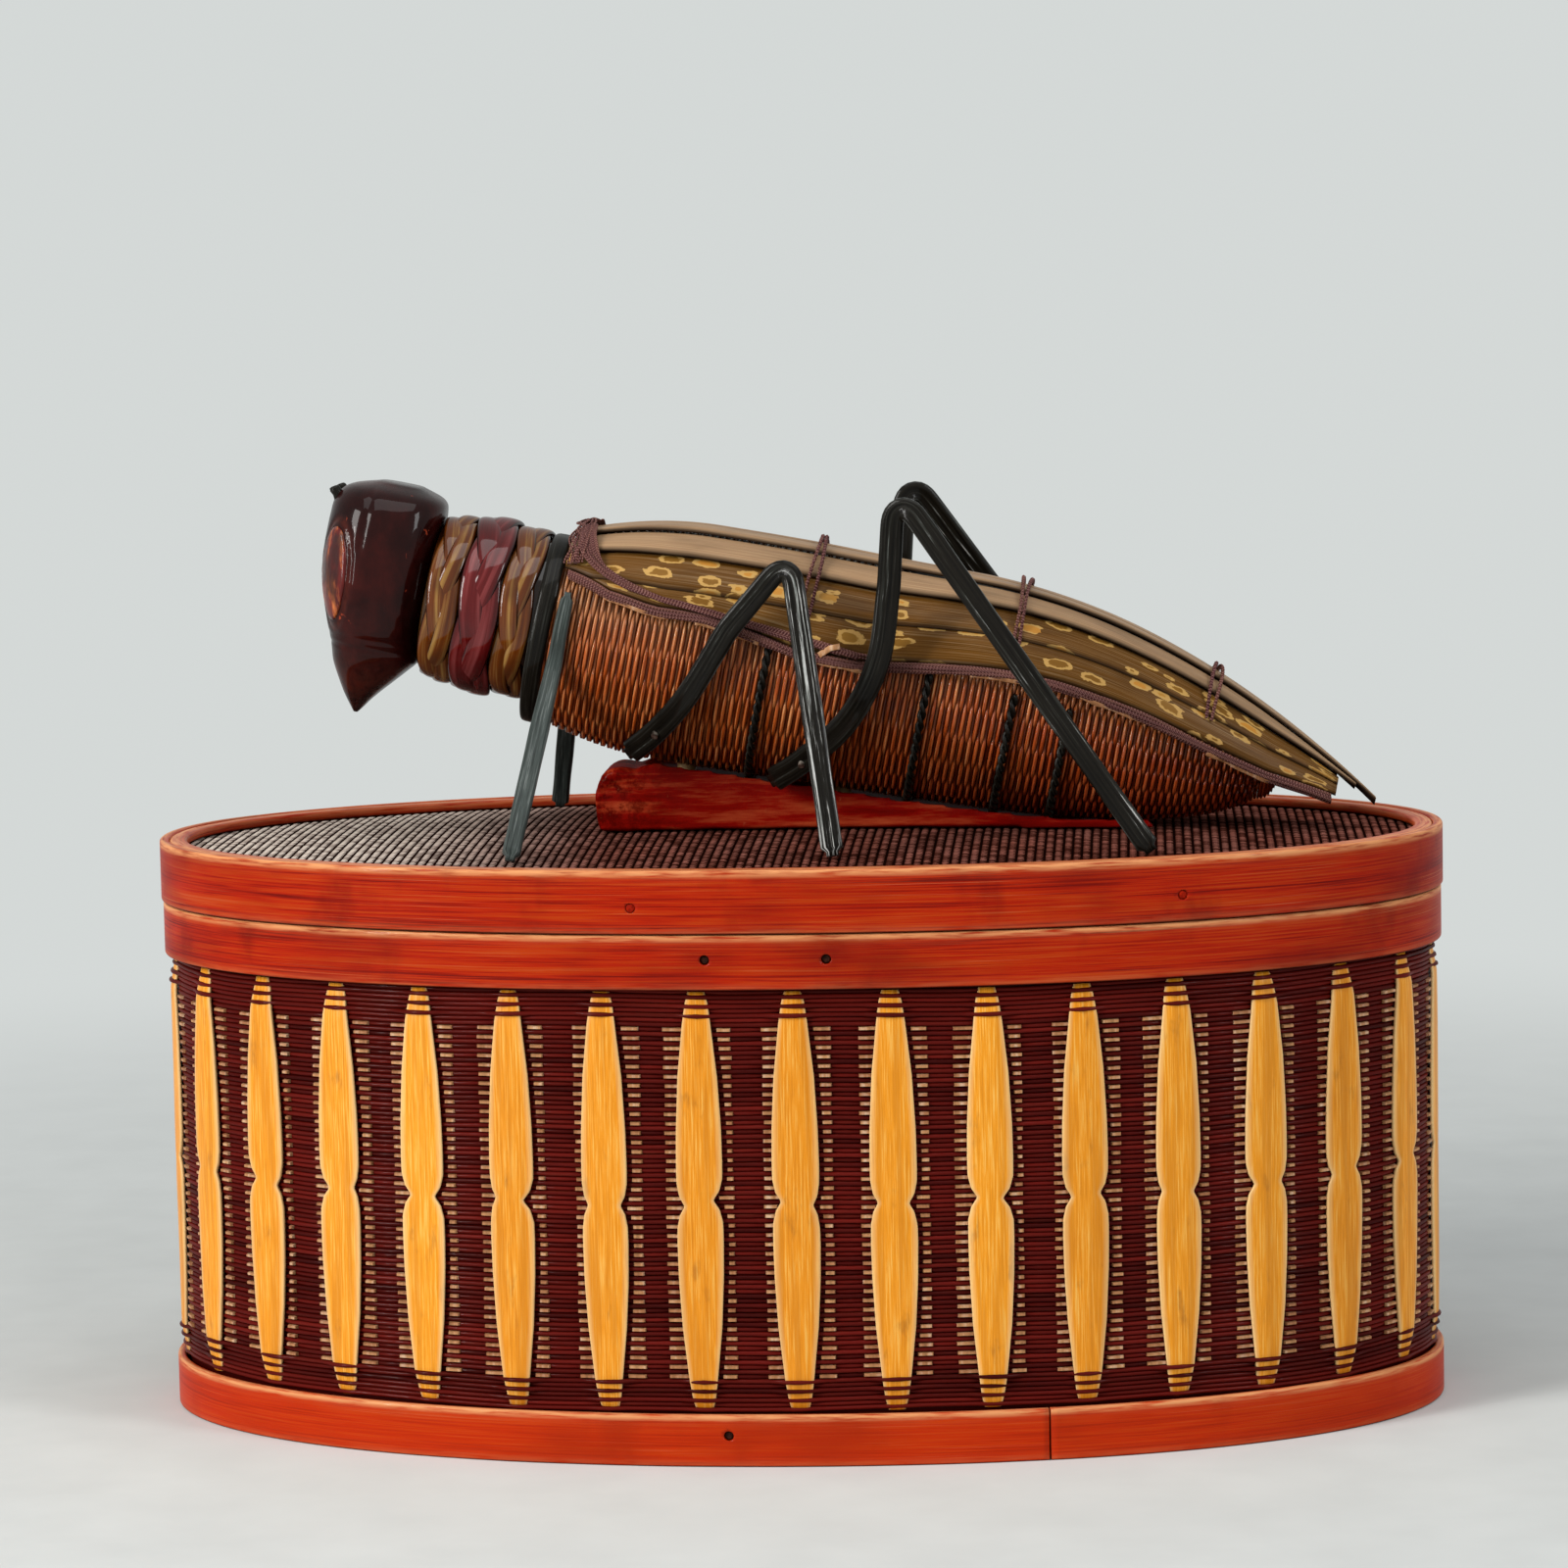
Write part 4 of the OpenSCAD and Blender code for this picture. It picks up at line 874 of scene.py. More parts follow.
# Radius and length of a peg hole's cutter
BORE_R, BORE_LONG = 1.05, 14.0


def bored(obj, box, holes):
    """Cuts the round peg holes through a band."""
    cutter = bpy.data.meshes.new("peg_bores")
    shape, r = bmesh.new(), BORE_R * 0.001
    for s, z in holes:
        bmesh.ops.create_cone(shape, cap_ends=True, segments=20, radius1=r, radius2=r,
                              depth=BORE_LONG * 0.001, matrix=outward(box, s, z))
    shape.to_mesh(cutter)
    shape.free()
    tool = bpy.data.objects.new("peg_bores", cutter)
    bpy.context.scene.collection.objects.link(tool)
    cut = obj.modifiers.new("peg bores", "BOOLEAN")
    cut.object, cut.operation, cut.solver = tool, "DIFFERENCE", "EXACT"
    applied(obj)
    bpy.data.objects.remove(tool)
    return obj


def peg_places(box):
    """Arc lengths and heights of the pegs of the rim, foot and lid bands, alike in front and behind."""
    rows = ((box.rim + 6.38, (-15, 10)), (box.foot * 0.6, (-12,)), (box.seam + 5.63, (-30, 84)))
    return [[(side + along, z) for side in (box.front, box.back) for along in places] for z, places in rows]


# A peg's shank and its cut end: depths, counted from its face for the end, and radii
PEG_SIDES, PEG_FOOT = 14, (5.5, 0.95)
PEG_END = ((0.3, 0.98), (0.1, 0.92), (0.0, 0.55), (0.05, 0.12))


def peg_rings(box, s, z, face, k):
    """Rings of one peg, a little out of round."""
    m = outward(box, s, z)
    a = 2 * PI * np.arange(PEG_SIDES) / PEG_SIDES
    chip = 1 + 0.06 * np.sin(3 * a + k)
    rows = (PEG_FOOT, *((face + deep, r) for deep, r in PEG_END))
    return np.array([[m @ (Vector((r * c * math.cos(t), r * c * math.sin(t), -depth)) * 0.001) * 1000
                      for t, c in zip(a, chip)] for depth, r in rows])


class MakeBands(bpy.types.Operator):
    """Bent lacquered bands of the foot, the mouth and the lid, with their pegs"""

    bl_idname = "cricket_box.bands"
    bl_label = "Bands and pegs"

    def execute(self, context):
        box, _, hue = shapes(context)
        # The lit copy of the lacquer, for the foot band, is painted light.
        red, lit = finish(lacquer_finish, hue, False), finish(lacquer_finish, hue, True)
        rim, foot, lid = peg_places(box)
        over, inner = box.OVERHANG, box.BAND
        for name, body, span, seam, holes, seed, paint in (
            ("foot_band", "box", (over, inner, 0.0, box.foot), box.front + 54.5, foot, 3, lit),
            ("rim_band", "box", (over, inner, box.rim, box.seam - 0.1), box.back + 40, rim, 5, red),
            ("lid_band", "lid", (0.0, box.LID_BAND, box.seam + 0.1, box.top), box.back - 60, lid, 8, red),
        ):
            piece = Piece()
            bent_band(piece, box, *span, seam, seed=seed)
            bored(piece.make("bent_" + name, body, "lacquer_band", paint, replaces=[name]), box, holes)
        bead = Piece()
        bent_band(bead, box, box.LID_BAND + 0.05, box.SHOW, box.edge, box.top - 0.15, box.back + 25, 0.2,
                  seed=11, r=0.7)
        bead.make("lid_bead_hoop", "lid", "lacquer_band", red, replaces=["lid_bead"])
        for name, body, holes, face in (
            ("box_pegs", "box", rim + foot, over + 0.6),
            ("lid_pegs", "lid", lid, 0.05),
        ):
            piece = Piece()
            for k, (s, z) in enumerate(holes):
                piece.tube(peg_rings(box, s, z, face, k))
            skin = finish(peg_finish, hue, body == "lid")
            piece.make("cut_" + name, body, "dark_peg", skin, replaces=[name])
        return {"FINISHED"}


# Half widths of a slat, as shares of its length and width, from its tip to near its waist
SLAT_OUTLINE = ((0, 0.36), (0.02, 0.47), (0.07, 0.6), (0.2, 0.85), (0.32, 0.97), (0.41, 1.0),
                (0.448, 0.985))
# Length of the tip that the weft holds, and depths of the face and the back of a slat
SLAT_TIP, SLAT_FACE, SLAT_BACK = 7.4, 1.25, 2.15
# Points across a slat, as shares of its half width
SLAT_ACROSS = np.array([-1, -0.93, -0.7, -0.35, 0, 0.35, 0.7, 0.93, 1])
# How far the stakes show to the left and right of the middle of a slat
STAKE_LEFT, STAKE_RIGHT = 6.6, 7.3
# Depths of the weft: on the bare wall, over and under a stake, behind a slat and behind its tip
BARE, OVER, UNDER, BEHIND, BEHIND_TIP = 2.2, 2.05, 2.9, 2.75, 2.7
# A row of weft in section: heights and lengths round it, in rows
WEFT_HIGH = np.array([-0.3, 0, 0.3, 0.53, 0, -0.53])
WEFT_ROUND = np.array([0.0, 0.3, 0.6, 0.9, 1.3, 1.7])
# The pale ticks where stakes show: depths of back and face, bevel, least length and faces
TICK_DEPTH = np.repeat((2.7, 1.95), 4)
TICK_BEVEL, TICK_LEAST = 0.14, 0.5
TICK_FACES = ((4, 5, 6, 7), (0, 1, 5, 4), (1, 2, 6, 5), (2, 3, 7, 6), (3, 0, 4, 7), (3, 2, 1, 0))


def slat_sides(box, k, share):
    """Half widths of slat k on its two sides, at a share of its length."""
    rng = np.random.default_rng(900 + k)
    sides = []
    for _ in range(2):
        waist, slip = rng.uniform(0.52, 0.76), rng.uniform(-0.009, 0.009)
        low = [*SLAT_OUTLINE, (0.478, 0.62 + 0.38 * waist), (0.498, waist)]
        f, wide = np.array(low + [(1 - f, w) for f, w in low[::-1]]).T
        f = f + slip * ((f > 0.3) & (f < 0.7))
        sides.append(np.interp(share, f, wide) * box.slat_width / 2 * rng.uniform(0.96, 1.03))
    return sides


def slat_sink(box, z):
    """How far a slat dives into the weave towards its two tips."""
    f = np.clip(1 - np.minimum(z - box.low, box.high - z) / SLAT_TIP, 0, 1)
    return f * f * (3 - 2 * f)


def weft_sway(s, z):
    """Rise and fall of the rows of weft along the wall."""
    return 0.28 * np.sin(2 * PI * s / 172.3 + z / 30) + 0.16 * np.sin(2 * PI * s / 57.4 - z / 17)


class MakeWall(bpy.types.Operator):
    """Woven wall: rows of maroon weft over stakes that show as pale ticks beside each slat"""

    bl_idname = "cricket_box.wall"
    bl_label = "Woven wall"

    def execute(self, context):
        box, _, hue = shapes(context)
        n, pitch, total = 400, box.row, box.total
        s = np.linspace(0, total, n, endpoint=False)
        apart = lambda at: (s[:, None] - at + total / 2) % total - total / 2
        near = np.argmin(np.abs(apart(box.slat_at)), 1)
        ds = apart(box.slat_at[near][:, None])[:, 0]
        count = int((box.rim - box.foot) / pitch)
        piece, ticks = Piece(), Piece()
        slip = 0.45 * np.sin(2.4 * np.arange(box.slats))
        rng = np.random.default_rng(5)
        for i in range(count):
            over = i % 2 == 0
            z = box.foot + 0.35 + (i + 0.5) * pitch * (box.rim - box.foot - 0.5) / (count * pitch)
            share = np.clip((z - box.low) / (box.high - box.low), 0, 1)
            sides = np.array([slat_sides(box, k, share) for k in range(box.slats)])
            tip = min(z - box.low, box.high - z) < SLAT_TIP - 0.8
            on_slat = (ds > -sides[near, 0] - 0.3) & (ds < sides[near, 1] + 0.3)
            on_stake = (ds > slip[near] - STAKE_LEFT) & (ds < slip[near] + STAKE_RIGHT)
            crest = np.full(n, BARE) + 0.12 * (i % 2)
            if tip:
                crest[on_slat] = SLAT_FACE + float(slat_sink(box, z)) - 0.55 if over else BEHIND_TIP
            else:
                crest[on_stake] = OVER if over else UNDER
                crest[on_slat] = BEHIND
            crest = 0.25 * np.roll(crest, 1) + 0.5 * crest + 0.25 * np.roll(crest, -1)
            inner = np.minimum(4.0, crest + 1.5)
            mid = (crest + inner) / 2 - 0.1
            depth = np.stack([crest + 0.08, crest, crest + 0.08, mid, inner, mid], 1)
            rise = np.clip(z + weft_sway(s, z), box.foot + 0.2, box.rim - 0.2)
            high = rise[:, None] + pitch * WEFT_HIGH
            tone = np.clip(rng.uniform(0.15, 0.85) + 0.35 * wander(s, 40 + i, 60), 0, 1)
            uv = pairs(s[:, None] + 71.0 * i, pitch * WEFT_ROUND + 3.1 * i)
            piece.tube(box.place(s[:, None], depth, high), uv, tone[:, None], closed=True)
            if tip or over:
                continue
            for at, shift, (left, right) in zip(box.slat_at, slip, sides):
                for a, b in ((shift - STAKE_LEFT - rng.uniform(0, 0.35), -left + 0.15),
                             (right + 1.0, shift + STAKE_RIGHT + rng.uniform(0, 0.35))):
                    if b - a < TICK_LEAST:
                        continue
                    inset = min(0.2, (b - a) / 4)
                    middle = z + weft_sway(at + a, z)
                    low, top = middle - 0.4 * pitch, middle + 0.4 * pitch
                    x = at + np.array([a, b, b, a, a + inset, b - inset, b - inset, a + inset])
                    edge = np.array([low, low, top, top, low, low, top, top])
                    bevel = TICK_BEVEL * np.array([0, 0, 0, 0, 1, 1, -1, -1])
                    ticks.add(box.place(x, TICK_DEPTH, edge + bevel), TICK_FACES,
                              tone=rng.uniform(0.35, 1.0))
        dark = finish(weft_finish, hue)
        piece.make("weft_rows", "box", "wall_weave", dark, replaces=["woven_wall"])
        lining = Piece()
        bent_band(lining, box, 3.15, 3.5, 1.0, box.seam - 0.6, box.back + 5, 0.05, steps=200, seed=21,
                  r=0.1)
        lining.make("wall_stakes", "box", "wall_weave", dark)
        ticks.make("stake_ticks", "box", "slat_bamboo", finish(stake_finish, hue), smooth=False)
        return {"FINISHED"}


class MakeSlats(bpy.types.Operator):
    """Golden slats with a pinched waist, their tips caught under the weft"""

    bl_idname = "cricket_box.slats"
    bl_label = "Slats"

    def execute(self, context):
        box, _, hue = shapes(context)
        share = np.unique(np.concatenate([np.linspace(0, 1, 41), np.linspace(0.44, 0.56, 21)]))
        z = box.low + share * (box.high - box.low)
        sink = slat_sink(box, z)[:, None]
        base = np.full((len(share), 1), SLAT_BACK) + sink
        t = SLAT_ACROSS
        # wear is 1 on the edges of a slat, which the finish paints pale: painted edge highlight.
        wear = np.concatenate([[1], step(np.abs(t), 0.9, 0.05), [1]])
        rng = np.random.default_rng(77)
        groups = {"front_slats": Piece(), "back_slats": Piece()}
        for k, at in enumerate(box.slat_at):
            left, right = slat_sides(box, k, share)
            across = np.where(t < 0, t * left[:, None], t * right[:, None])
            depth = SLAT_FACE + 0.3 * np.abs(t) ** 3 + sink + 0.05 * wander(z, 300 + k, 40)[:, None]
            depth = np.concatenate([base, depth, base], 1)
            s = at + np.concatenate([across[:, :1], across, across[:, -1:]], 1)
            uv = pairs(z[:, None] + rng.uniform(0, 900), s - at + rng.uniform(0, 300))
            piece = groups["back_slats" if box.at(at, 0.0)[1] > 0 else "front_slats"]
            piece.tube(box.place(s, depth, z[:, None]), uv, rng.uniform(0.1, 1.0), wear)
        gold = finish(slat_finish, hue)
        for name, piece in groups.items():
            piece.make("pinched_" + name, "box", "slat_bamboo", gold, replaces=[name])
        return {"FINISHED"}


class MakeInside(bpy.types.Operator):
    """Plain bamboo of the hoops, floor, collar, lining and posts, kept from the CAD part"""

    bl_idname = "cricket_box.inside"
    bl_label = "Inner bamboo"

    def execute(self, context):
        hue = context.scene.cricket_finish
        hoop = bamboo_finish(hue, "hoop bamboo", (14, 14, 700))
        for name in ("foot_hoop", "rim_collar", "lid_lining"):
            dress(name, hoop)
        dress("floor_panel", bamboo_finish(hue, "floor bamboo", (14, 420, 420)))
        dress("saddle_posts", bamboo_finish(hue, "post bamboo", (420, 420, 14)))
        return {"FINISHED"}


def dress(name, material):
    """Gives a CAD node its finish, on the object and not on its mesh."""
    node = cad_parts[name]
    if not node.material_slots:
        raise RuntimeError(name + " has no material slot")
    for place in node.material_slots:
        place.link = "OBJECT"
        place.material = material


# Lid


class MakePanel(bpy.types.Operator):
    """Domed lid panel, woven in fine ribs that run across the lid"""

    bl_idname = "cricket_box.panel"
    bl_label = "Lid panel"

    def execute(self, context):
        box, _, hue = shapes(context)
        piece = Piece()
        a, b, power = box.a - 4.0, box.b - 4.0, box.power
        for nx, ny, under in ((640, 270, False), (90, 40, True)):
            x = np.linspace(-a + 0.02, a - 0.02, nx)[:, None]
            y = np.linspace(-1, 1, ny) * b * np.maximum(0, 1 - np.abs(x / a) ** power) ** (1 / power)
            x = np.broadcast_to(x, y.shape)
            z, tone = box.panel_z(x, y) - 1.5, 0.6
            if not under:
                slot = np.floor(x / LID_RIB)
                lx = x / LID_RIB - slot - 0.5
                swell = np.sqrt(np.maximum(0, 1 - (2 * lx) ** 2))
                phase = y / LID_STITCH + 0.5 * np.mod(slot, 2) + 0.45 * lx
                bump = 0.5 + 0.5 * np.cos(2 * PI * phase)
                uneven = 0.5 + 0.5 * np.sin(slot * 12.9898) * np.cos(np.floor(y / LID_STITCH) * 4.1414 + slot)
                z = box.panel_z(x, y) - 0.62 + 0.6 * swell**0.8 * (0.35 + 0.65 * bump**0.6)
                # tone is highest on the crests of ribs and stitches, which the finish paints lighter: painted
                # highlight.
                tone = np.clip(0.15 + 0.75 * swell * bump**0.7 * (0.85 + 0.2 * uneven), 0, 1)
            piece.add(np.stack([x, y, z], -1), grid(nx, ny), pairs(y, x), tone)
        weave = finish(panel_finish, hue)
        piece.make("woven_lid_panel", "lid", "panel_weave", weave, replaces=["lid_panel"])
        return {"FINISHED"}


# Where the saddle's rough front end begins, and the length of its rounded top corner
SADDLE_ROUGH, SADDLE_CORNER = -36, 9


class MakeSaddle(bpy.types.Operator):
    """Carved red saddle under the cricket, with softened edges and a rough front end"""

    bl_idname = "cricket_box.saddle"
    bl_label = "Saddle"

    def execute(self, context):
        obj = bpy.data.objects.new("carved_saddle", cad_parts["saddle"].data.copy())
        obj.data.materials.clear()
        obj.data.materials.append(finish(saddle_finish, context.scene.cricket_finish))
        settle(obj, "lid", "saddle_lacquer", ["saddle"])
        net = obj.modifiers.new("net", "REMESH")
        net.mode, net.voxel_size, net.use_smooth_shade = "VOXEL", 0.0009, True
        soft = obj.modifiers.new("soft", "SMOOTH")
        soft.factor, soft.iterations = 0.5, 3
        applied(obj)
        mesh = obj.data
        co, no = np.empty(len(mesh.vertices) * 3), np.empty(len(mesh.vertices) * 3)
        mesh.vertices.foreach_get("co", co)
        mesh.vertex_normals.foreach_get("vector", no)
        co, no = co.reshape(-1, 3) * 1000, no.reshape(-1, 3)
        x, y, z = co.T
        rough = np.clip((SADDLE_ROUGH - x) / 7, 0, 1)
        corner = step(x, x.min(), SADDLE_CORNER)
        full = 1.9 * np.sin(PI * corner) * np.clip(1.5 * no[:, 2], 0, 1)
        hacked = rough * 0.28 * wander(z * 1.3 + y, 62, 2.6) * wander(x - y, 63, 2.2)
        d = 0.1 * wander(x + 0.7 * z, 61, 14) + hacked
        mesh.vertices.foreach_set("co", ((co + no * (d + full - 0.12)[:, None]) * 0.001).ravel())
        mesh.polygons.foreach_set("use_smooth", [True] * len(mesh.polygons))
        mesh.update()
        return {"FINISHED"}


# Cricket


# Points round a strand of the body, and stakes it passes in one round
BODY_STEPS, BODY_WAVES = 132, 11
# Front end of the weave, places of the dark rings as shares of the body, and their two ends
BODY_START, RING_AT, RING_ENDS = 1.0, (0.308, 0.524, 0.64, 0.715), (77, 283)
# Points round the tail cap, its rows and its length
CAP_COLS, CAP_ROWS, CAP_LONG = 48, 26, 3.5


class MakeBody(bpy.types.Operator):
    """Woven body of ring strands over hidden warps, its dark rings, tail cap and front ring"""

    bl_idname = "cricket_box.body"
    bl_label = "Cricket body"

    def execute(self, context):
        _, c, hue = shapes(context)
        pitch = context.scene.cricket_body.strand * 1000
        weave, black = finish(body_finish, hue), finish(leg_finish, hue)
        piece = Piece()
        a = np.linspace(0, 360, BODY_STEPS, endpoint=False)
        high = np.cos(np.radians(a))
        # belly marks the lower part of each round and flank the upper part; they steer painted shade and
        # painted light below.
        belly, flank = step(-high, 0.45, 0.5), step(high, -0.05, 0.45)
        count = int((c.end - BODY_START) / pitch)
        section = round_section(pitch * 0.48, 6, 0.43 / (pitch * 0.48))
        rng = np.random.default_rng(17)
        for i in range(count):
            u = BODY_START + (i + 0.5) * (c.end - BODY_START) / count
            wave = np.tanh(2.2 * np.cos(np.radians(a * BODY_WAVES + 180 * i))) / math.tanh(2.2)
            uu = u + 0.12 * wander(a / 360 * 150, 500 + i, 40)
            path = c.world(c.body(uu, a, -0.78 + 0.36 * wave))
            up = c.world(c.body(uu, a, 3.0)) - c.world(c.body(uu, a, 0.0))
            # More of the dark tail colour on the belly: painted shade underneath. On the upper part (flank)
            # tone drops below 0, which the finish paints pale tan: painted light on top.
            tone = np.clip((u / c.len - 0.3) / 0.75 + 0.35 * belly + rng.uniform(-0.12, 0.12), 0, 1)
            tone = tone - (0.45 + 0.9 * tone) * flank
            # deep is high where a strand dives under another; the finish darkens it there as painted shade.
            deep = np.clip(0.5 - 0.6 * wave, 0, 1)
            piece.strand(path, section, up, True, tone[:, None], deep[:, None], shift=(40.0 * i, 2.7 * i))
        # A core under the strands, darkened all over: painted shade seen through the gaps.
        us = np.linspace(0.3, c.end, 60)[:, None]
        piece.tube(c.world(c.body(us, a[::4], -1.25)), tone=0.9, wear=1.0)
        piece.make("woven_body", "lid", "body_weave", weave, replaces=["cricket_body"])

        cap = Piece()
        t = np.linspace(0, 2 * PI, CAP_COLS, endpoint=False)
        g = np.radians(np.linspace(0, 84, CAP_ROWS))[:, None]
        ridge = 0.28 * np.sin(np.arange(CAP_ROWS) * 2 * PI / 4)[:, None]
        u = c.end + 0.1 + CAP_LONG * np.sin(g) + 0.3 * ridge
        half, tall = c.wide(c.end) * np.cos(g) + ridge, c.tall(c.end) * np.cos(g) + ridge
        rings = np.stack(spread(u, -half * np.sin(t), c.mid(c.end) + tall * np.cos(t)), -1)
        cap.tube(c.world(rings), tone=1.0, wear=0.55)
        cap.make("coiled_tail_cap", "lid", "dark_strand", weave, replaces=["tail_cap"])

        rings = Piece()
        up = np.array([math.cos(c.lean), 0, -math.sin(c.lean)])
        for f in RING_AT:
            path = c.world(c.body(f * c.len, np.linspace(*RING_ENDS, 126), 0.42))
            for line in ply(path, up, 0.52, 5.2, 2, f * 9):
                rings.strand(line, round_section(0.5, 8), up, tone=0.0)
        rings.make("dark_body_rings", "lid", "dark_strand", black, replaces=["body_rings"])

        chest = Piece()
        angle = np.linspace(0, 360, 120, endpoint=False)
        path = c.world(c.body(0.3 + 0.25 * wander(angle, 71, 120), angle, 0.95))
        up = path - c.world(c.body(0.3, angle, -20.0))
        chest.strand(path, strip_section(4.0, 1.4), up, True)
        chest.make("dark_chest_ring", "lid", "leg_bamboo", black, replaces=["chest_ring"])
        return {"FINISHED"}


# Turns of a neck strip's sway in one round, strips to a wrap, and thickness of a strip
NECK_BEATS, NECK_LAYS, NECK_THICK = 2, 3, 1.7


class MakeNeck(bpy.types.Operator):
    """Flat glossy strips that cross as they wind round the neck: ochre, crimson, ochre"""

    bl_idname = "cricket_box.neck"
    bl_label = "Neck"

    def execute(self, context):
        _, c, hue = shapes(context)
        ochre = finish(cane_finish, "glossy ochre cane", hue.ochre, shade(hue.ochre, 0.35),
                       blend(hue.ochre, (0.7, 0.45, 0.12), 0.5))
        red = finish(cane_finish, "glossy crimson cane", hue.crimson, shade(hue.crimson, 0.4),
                     blend(hue.crimson, (0.4, 0.09, 0.09), 0.5))
        a = np.linspace(0, 360, 240, endpoint=False)
        rad = np.radians(a)
        for name, node, middle, sway, width, swell, material, slot in (
            ("ochre_wrap_front", "neck_wrap_front", -21.8, 1.8, 4.2, 0.0, ochre, "neck_ochre"),
            ("crimson_wrap", "neck_wrap_red", -13.8, 2.1, 5.3, 0.4, red, "neck_red"),
            ("ochre_wrap_back", "neck_wrap_back", -5.8, 1.8, 4.2, 0.0, ochre, "neck_ochre"),
        ):
            piece = Piece()
            flat = strip_section(width, NECK_THICK, 24, 2.5)
            # edge darkens the sides of each strip: painted shade between the strips.
            edge = step(np.abs(flat[:, 0]) / width, 0.41, 0.06)
            for k in range(NECK_LAYS):
                phase = NECK_BEATS * rad + 2 * PI * k / NECK_LAYS + 0.9
                u = middle + sway * np.cos(phase)
                r = c.neck_r(u) + 0.95 + swell + 0.36 * np.sin(2 * phase)
                path = c.world(c.round_neck(u, r, rad))
                up = path - c.world(c.round_neck(u, 0 * r, rad))
                piece.strand(path, flat, up, True, wear=edge, shift=(57.0 * k, 9.0 * k))
            piece.make(name, "lid", slot, material, replaces=[node])
        core = Piece()
        us = np.linspace(-25.9, -0.1, 24)[:, None]
        rings = c.round_neck(us, c.neck_r(us) + 0.1, rad[::4])
        # The core rod is darkened all over: painted shade where it shows between the wraps.
        core.tube(c.world(rings), pairs(a[::4] * 0.3, us), wear=0.85)
        core.make("neck_core_rod", "lid", "neck_ochre", ochre, replaces=["neck_core"])
        return {"FINISHED"}


# Rows of the head from jaw to crown: height, front, back and width, as shares of its sizes
HEAD_ROWS = ((0, 0.5, 0.46, 0.06), (0.09, 0.62, 0.32, 0.4), (0.2, 0.74, 0.12, 0.68), (0.28, 0.79, 0, 0.8),
             (0.4, 0.88, 0, 0.92), (0.53, 0.96, 0, 0.99), (0.66, 1, 0, 1), (0.8, 1, 0, 0.96),
             (0.9, 0.98, 0, 0.85), (0.96, 0.88, 0.04, 0.66), (1, 0.62, 0.24, 0.3))
HEAD_BACK, HEAD_LONG, HEAD_TALL, HEAD_WIDE = -26.0, 24.8, 51.0, 33.0
# Height of the head's lowest point in the cricket's frame, and points round a row
HEAD_LOW, HEAD_COLS = CricketShape.NECK_W - 28.5, 144
EYE_WIDE, EYE_TALL, EYE_LEAN = 4.9, 10.2, math.radians(36)
# Cut lines over the jaw: height as a share of the head, and depth
JAW_LINES = ((0.3, 0.55), (0.335, 0.4))
# Feeler stubs: lean, length, and radii at shares of the length
STUB_LEAN, STUB_LONG = math.radians(34), 4.7
STUB_AT, STUB_R = np.array([0, 0.3, 0.6, 0.85, 0.97, 1.0]), np.array([1.35, 1.3, 1.15, 1.2, 0.95, 0.5])


def on_head(long, wide, tall):
    """Point at shares of the head's sizes."""
    return np.array([HEAD_BACK - long * HEAD_LONG, wide * HEAD_WIDE, HEAD_LOW + tall * HEAD_TALL])


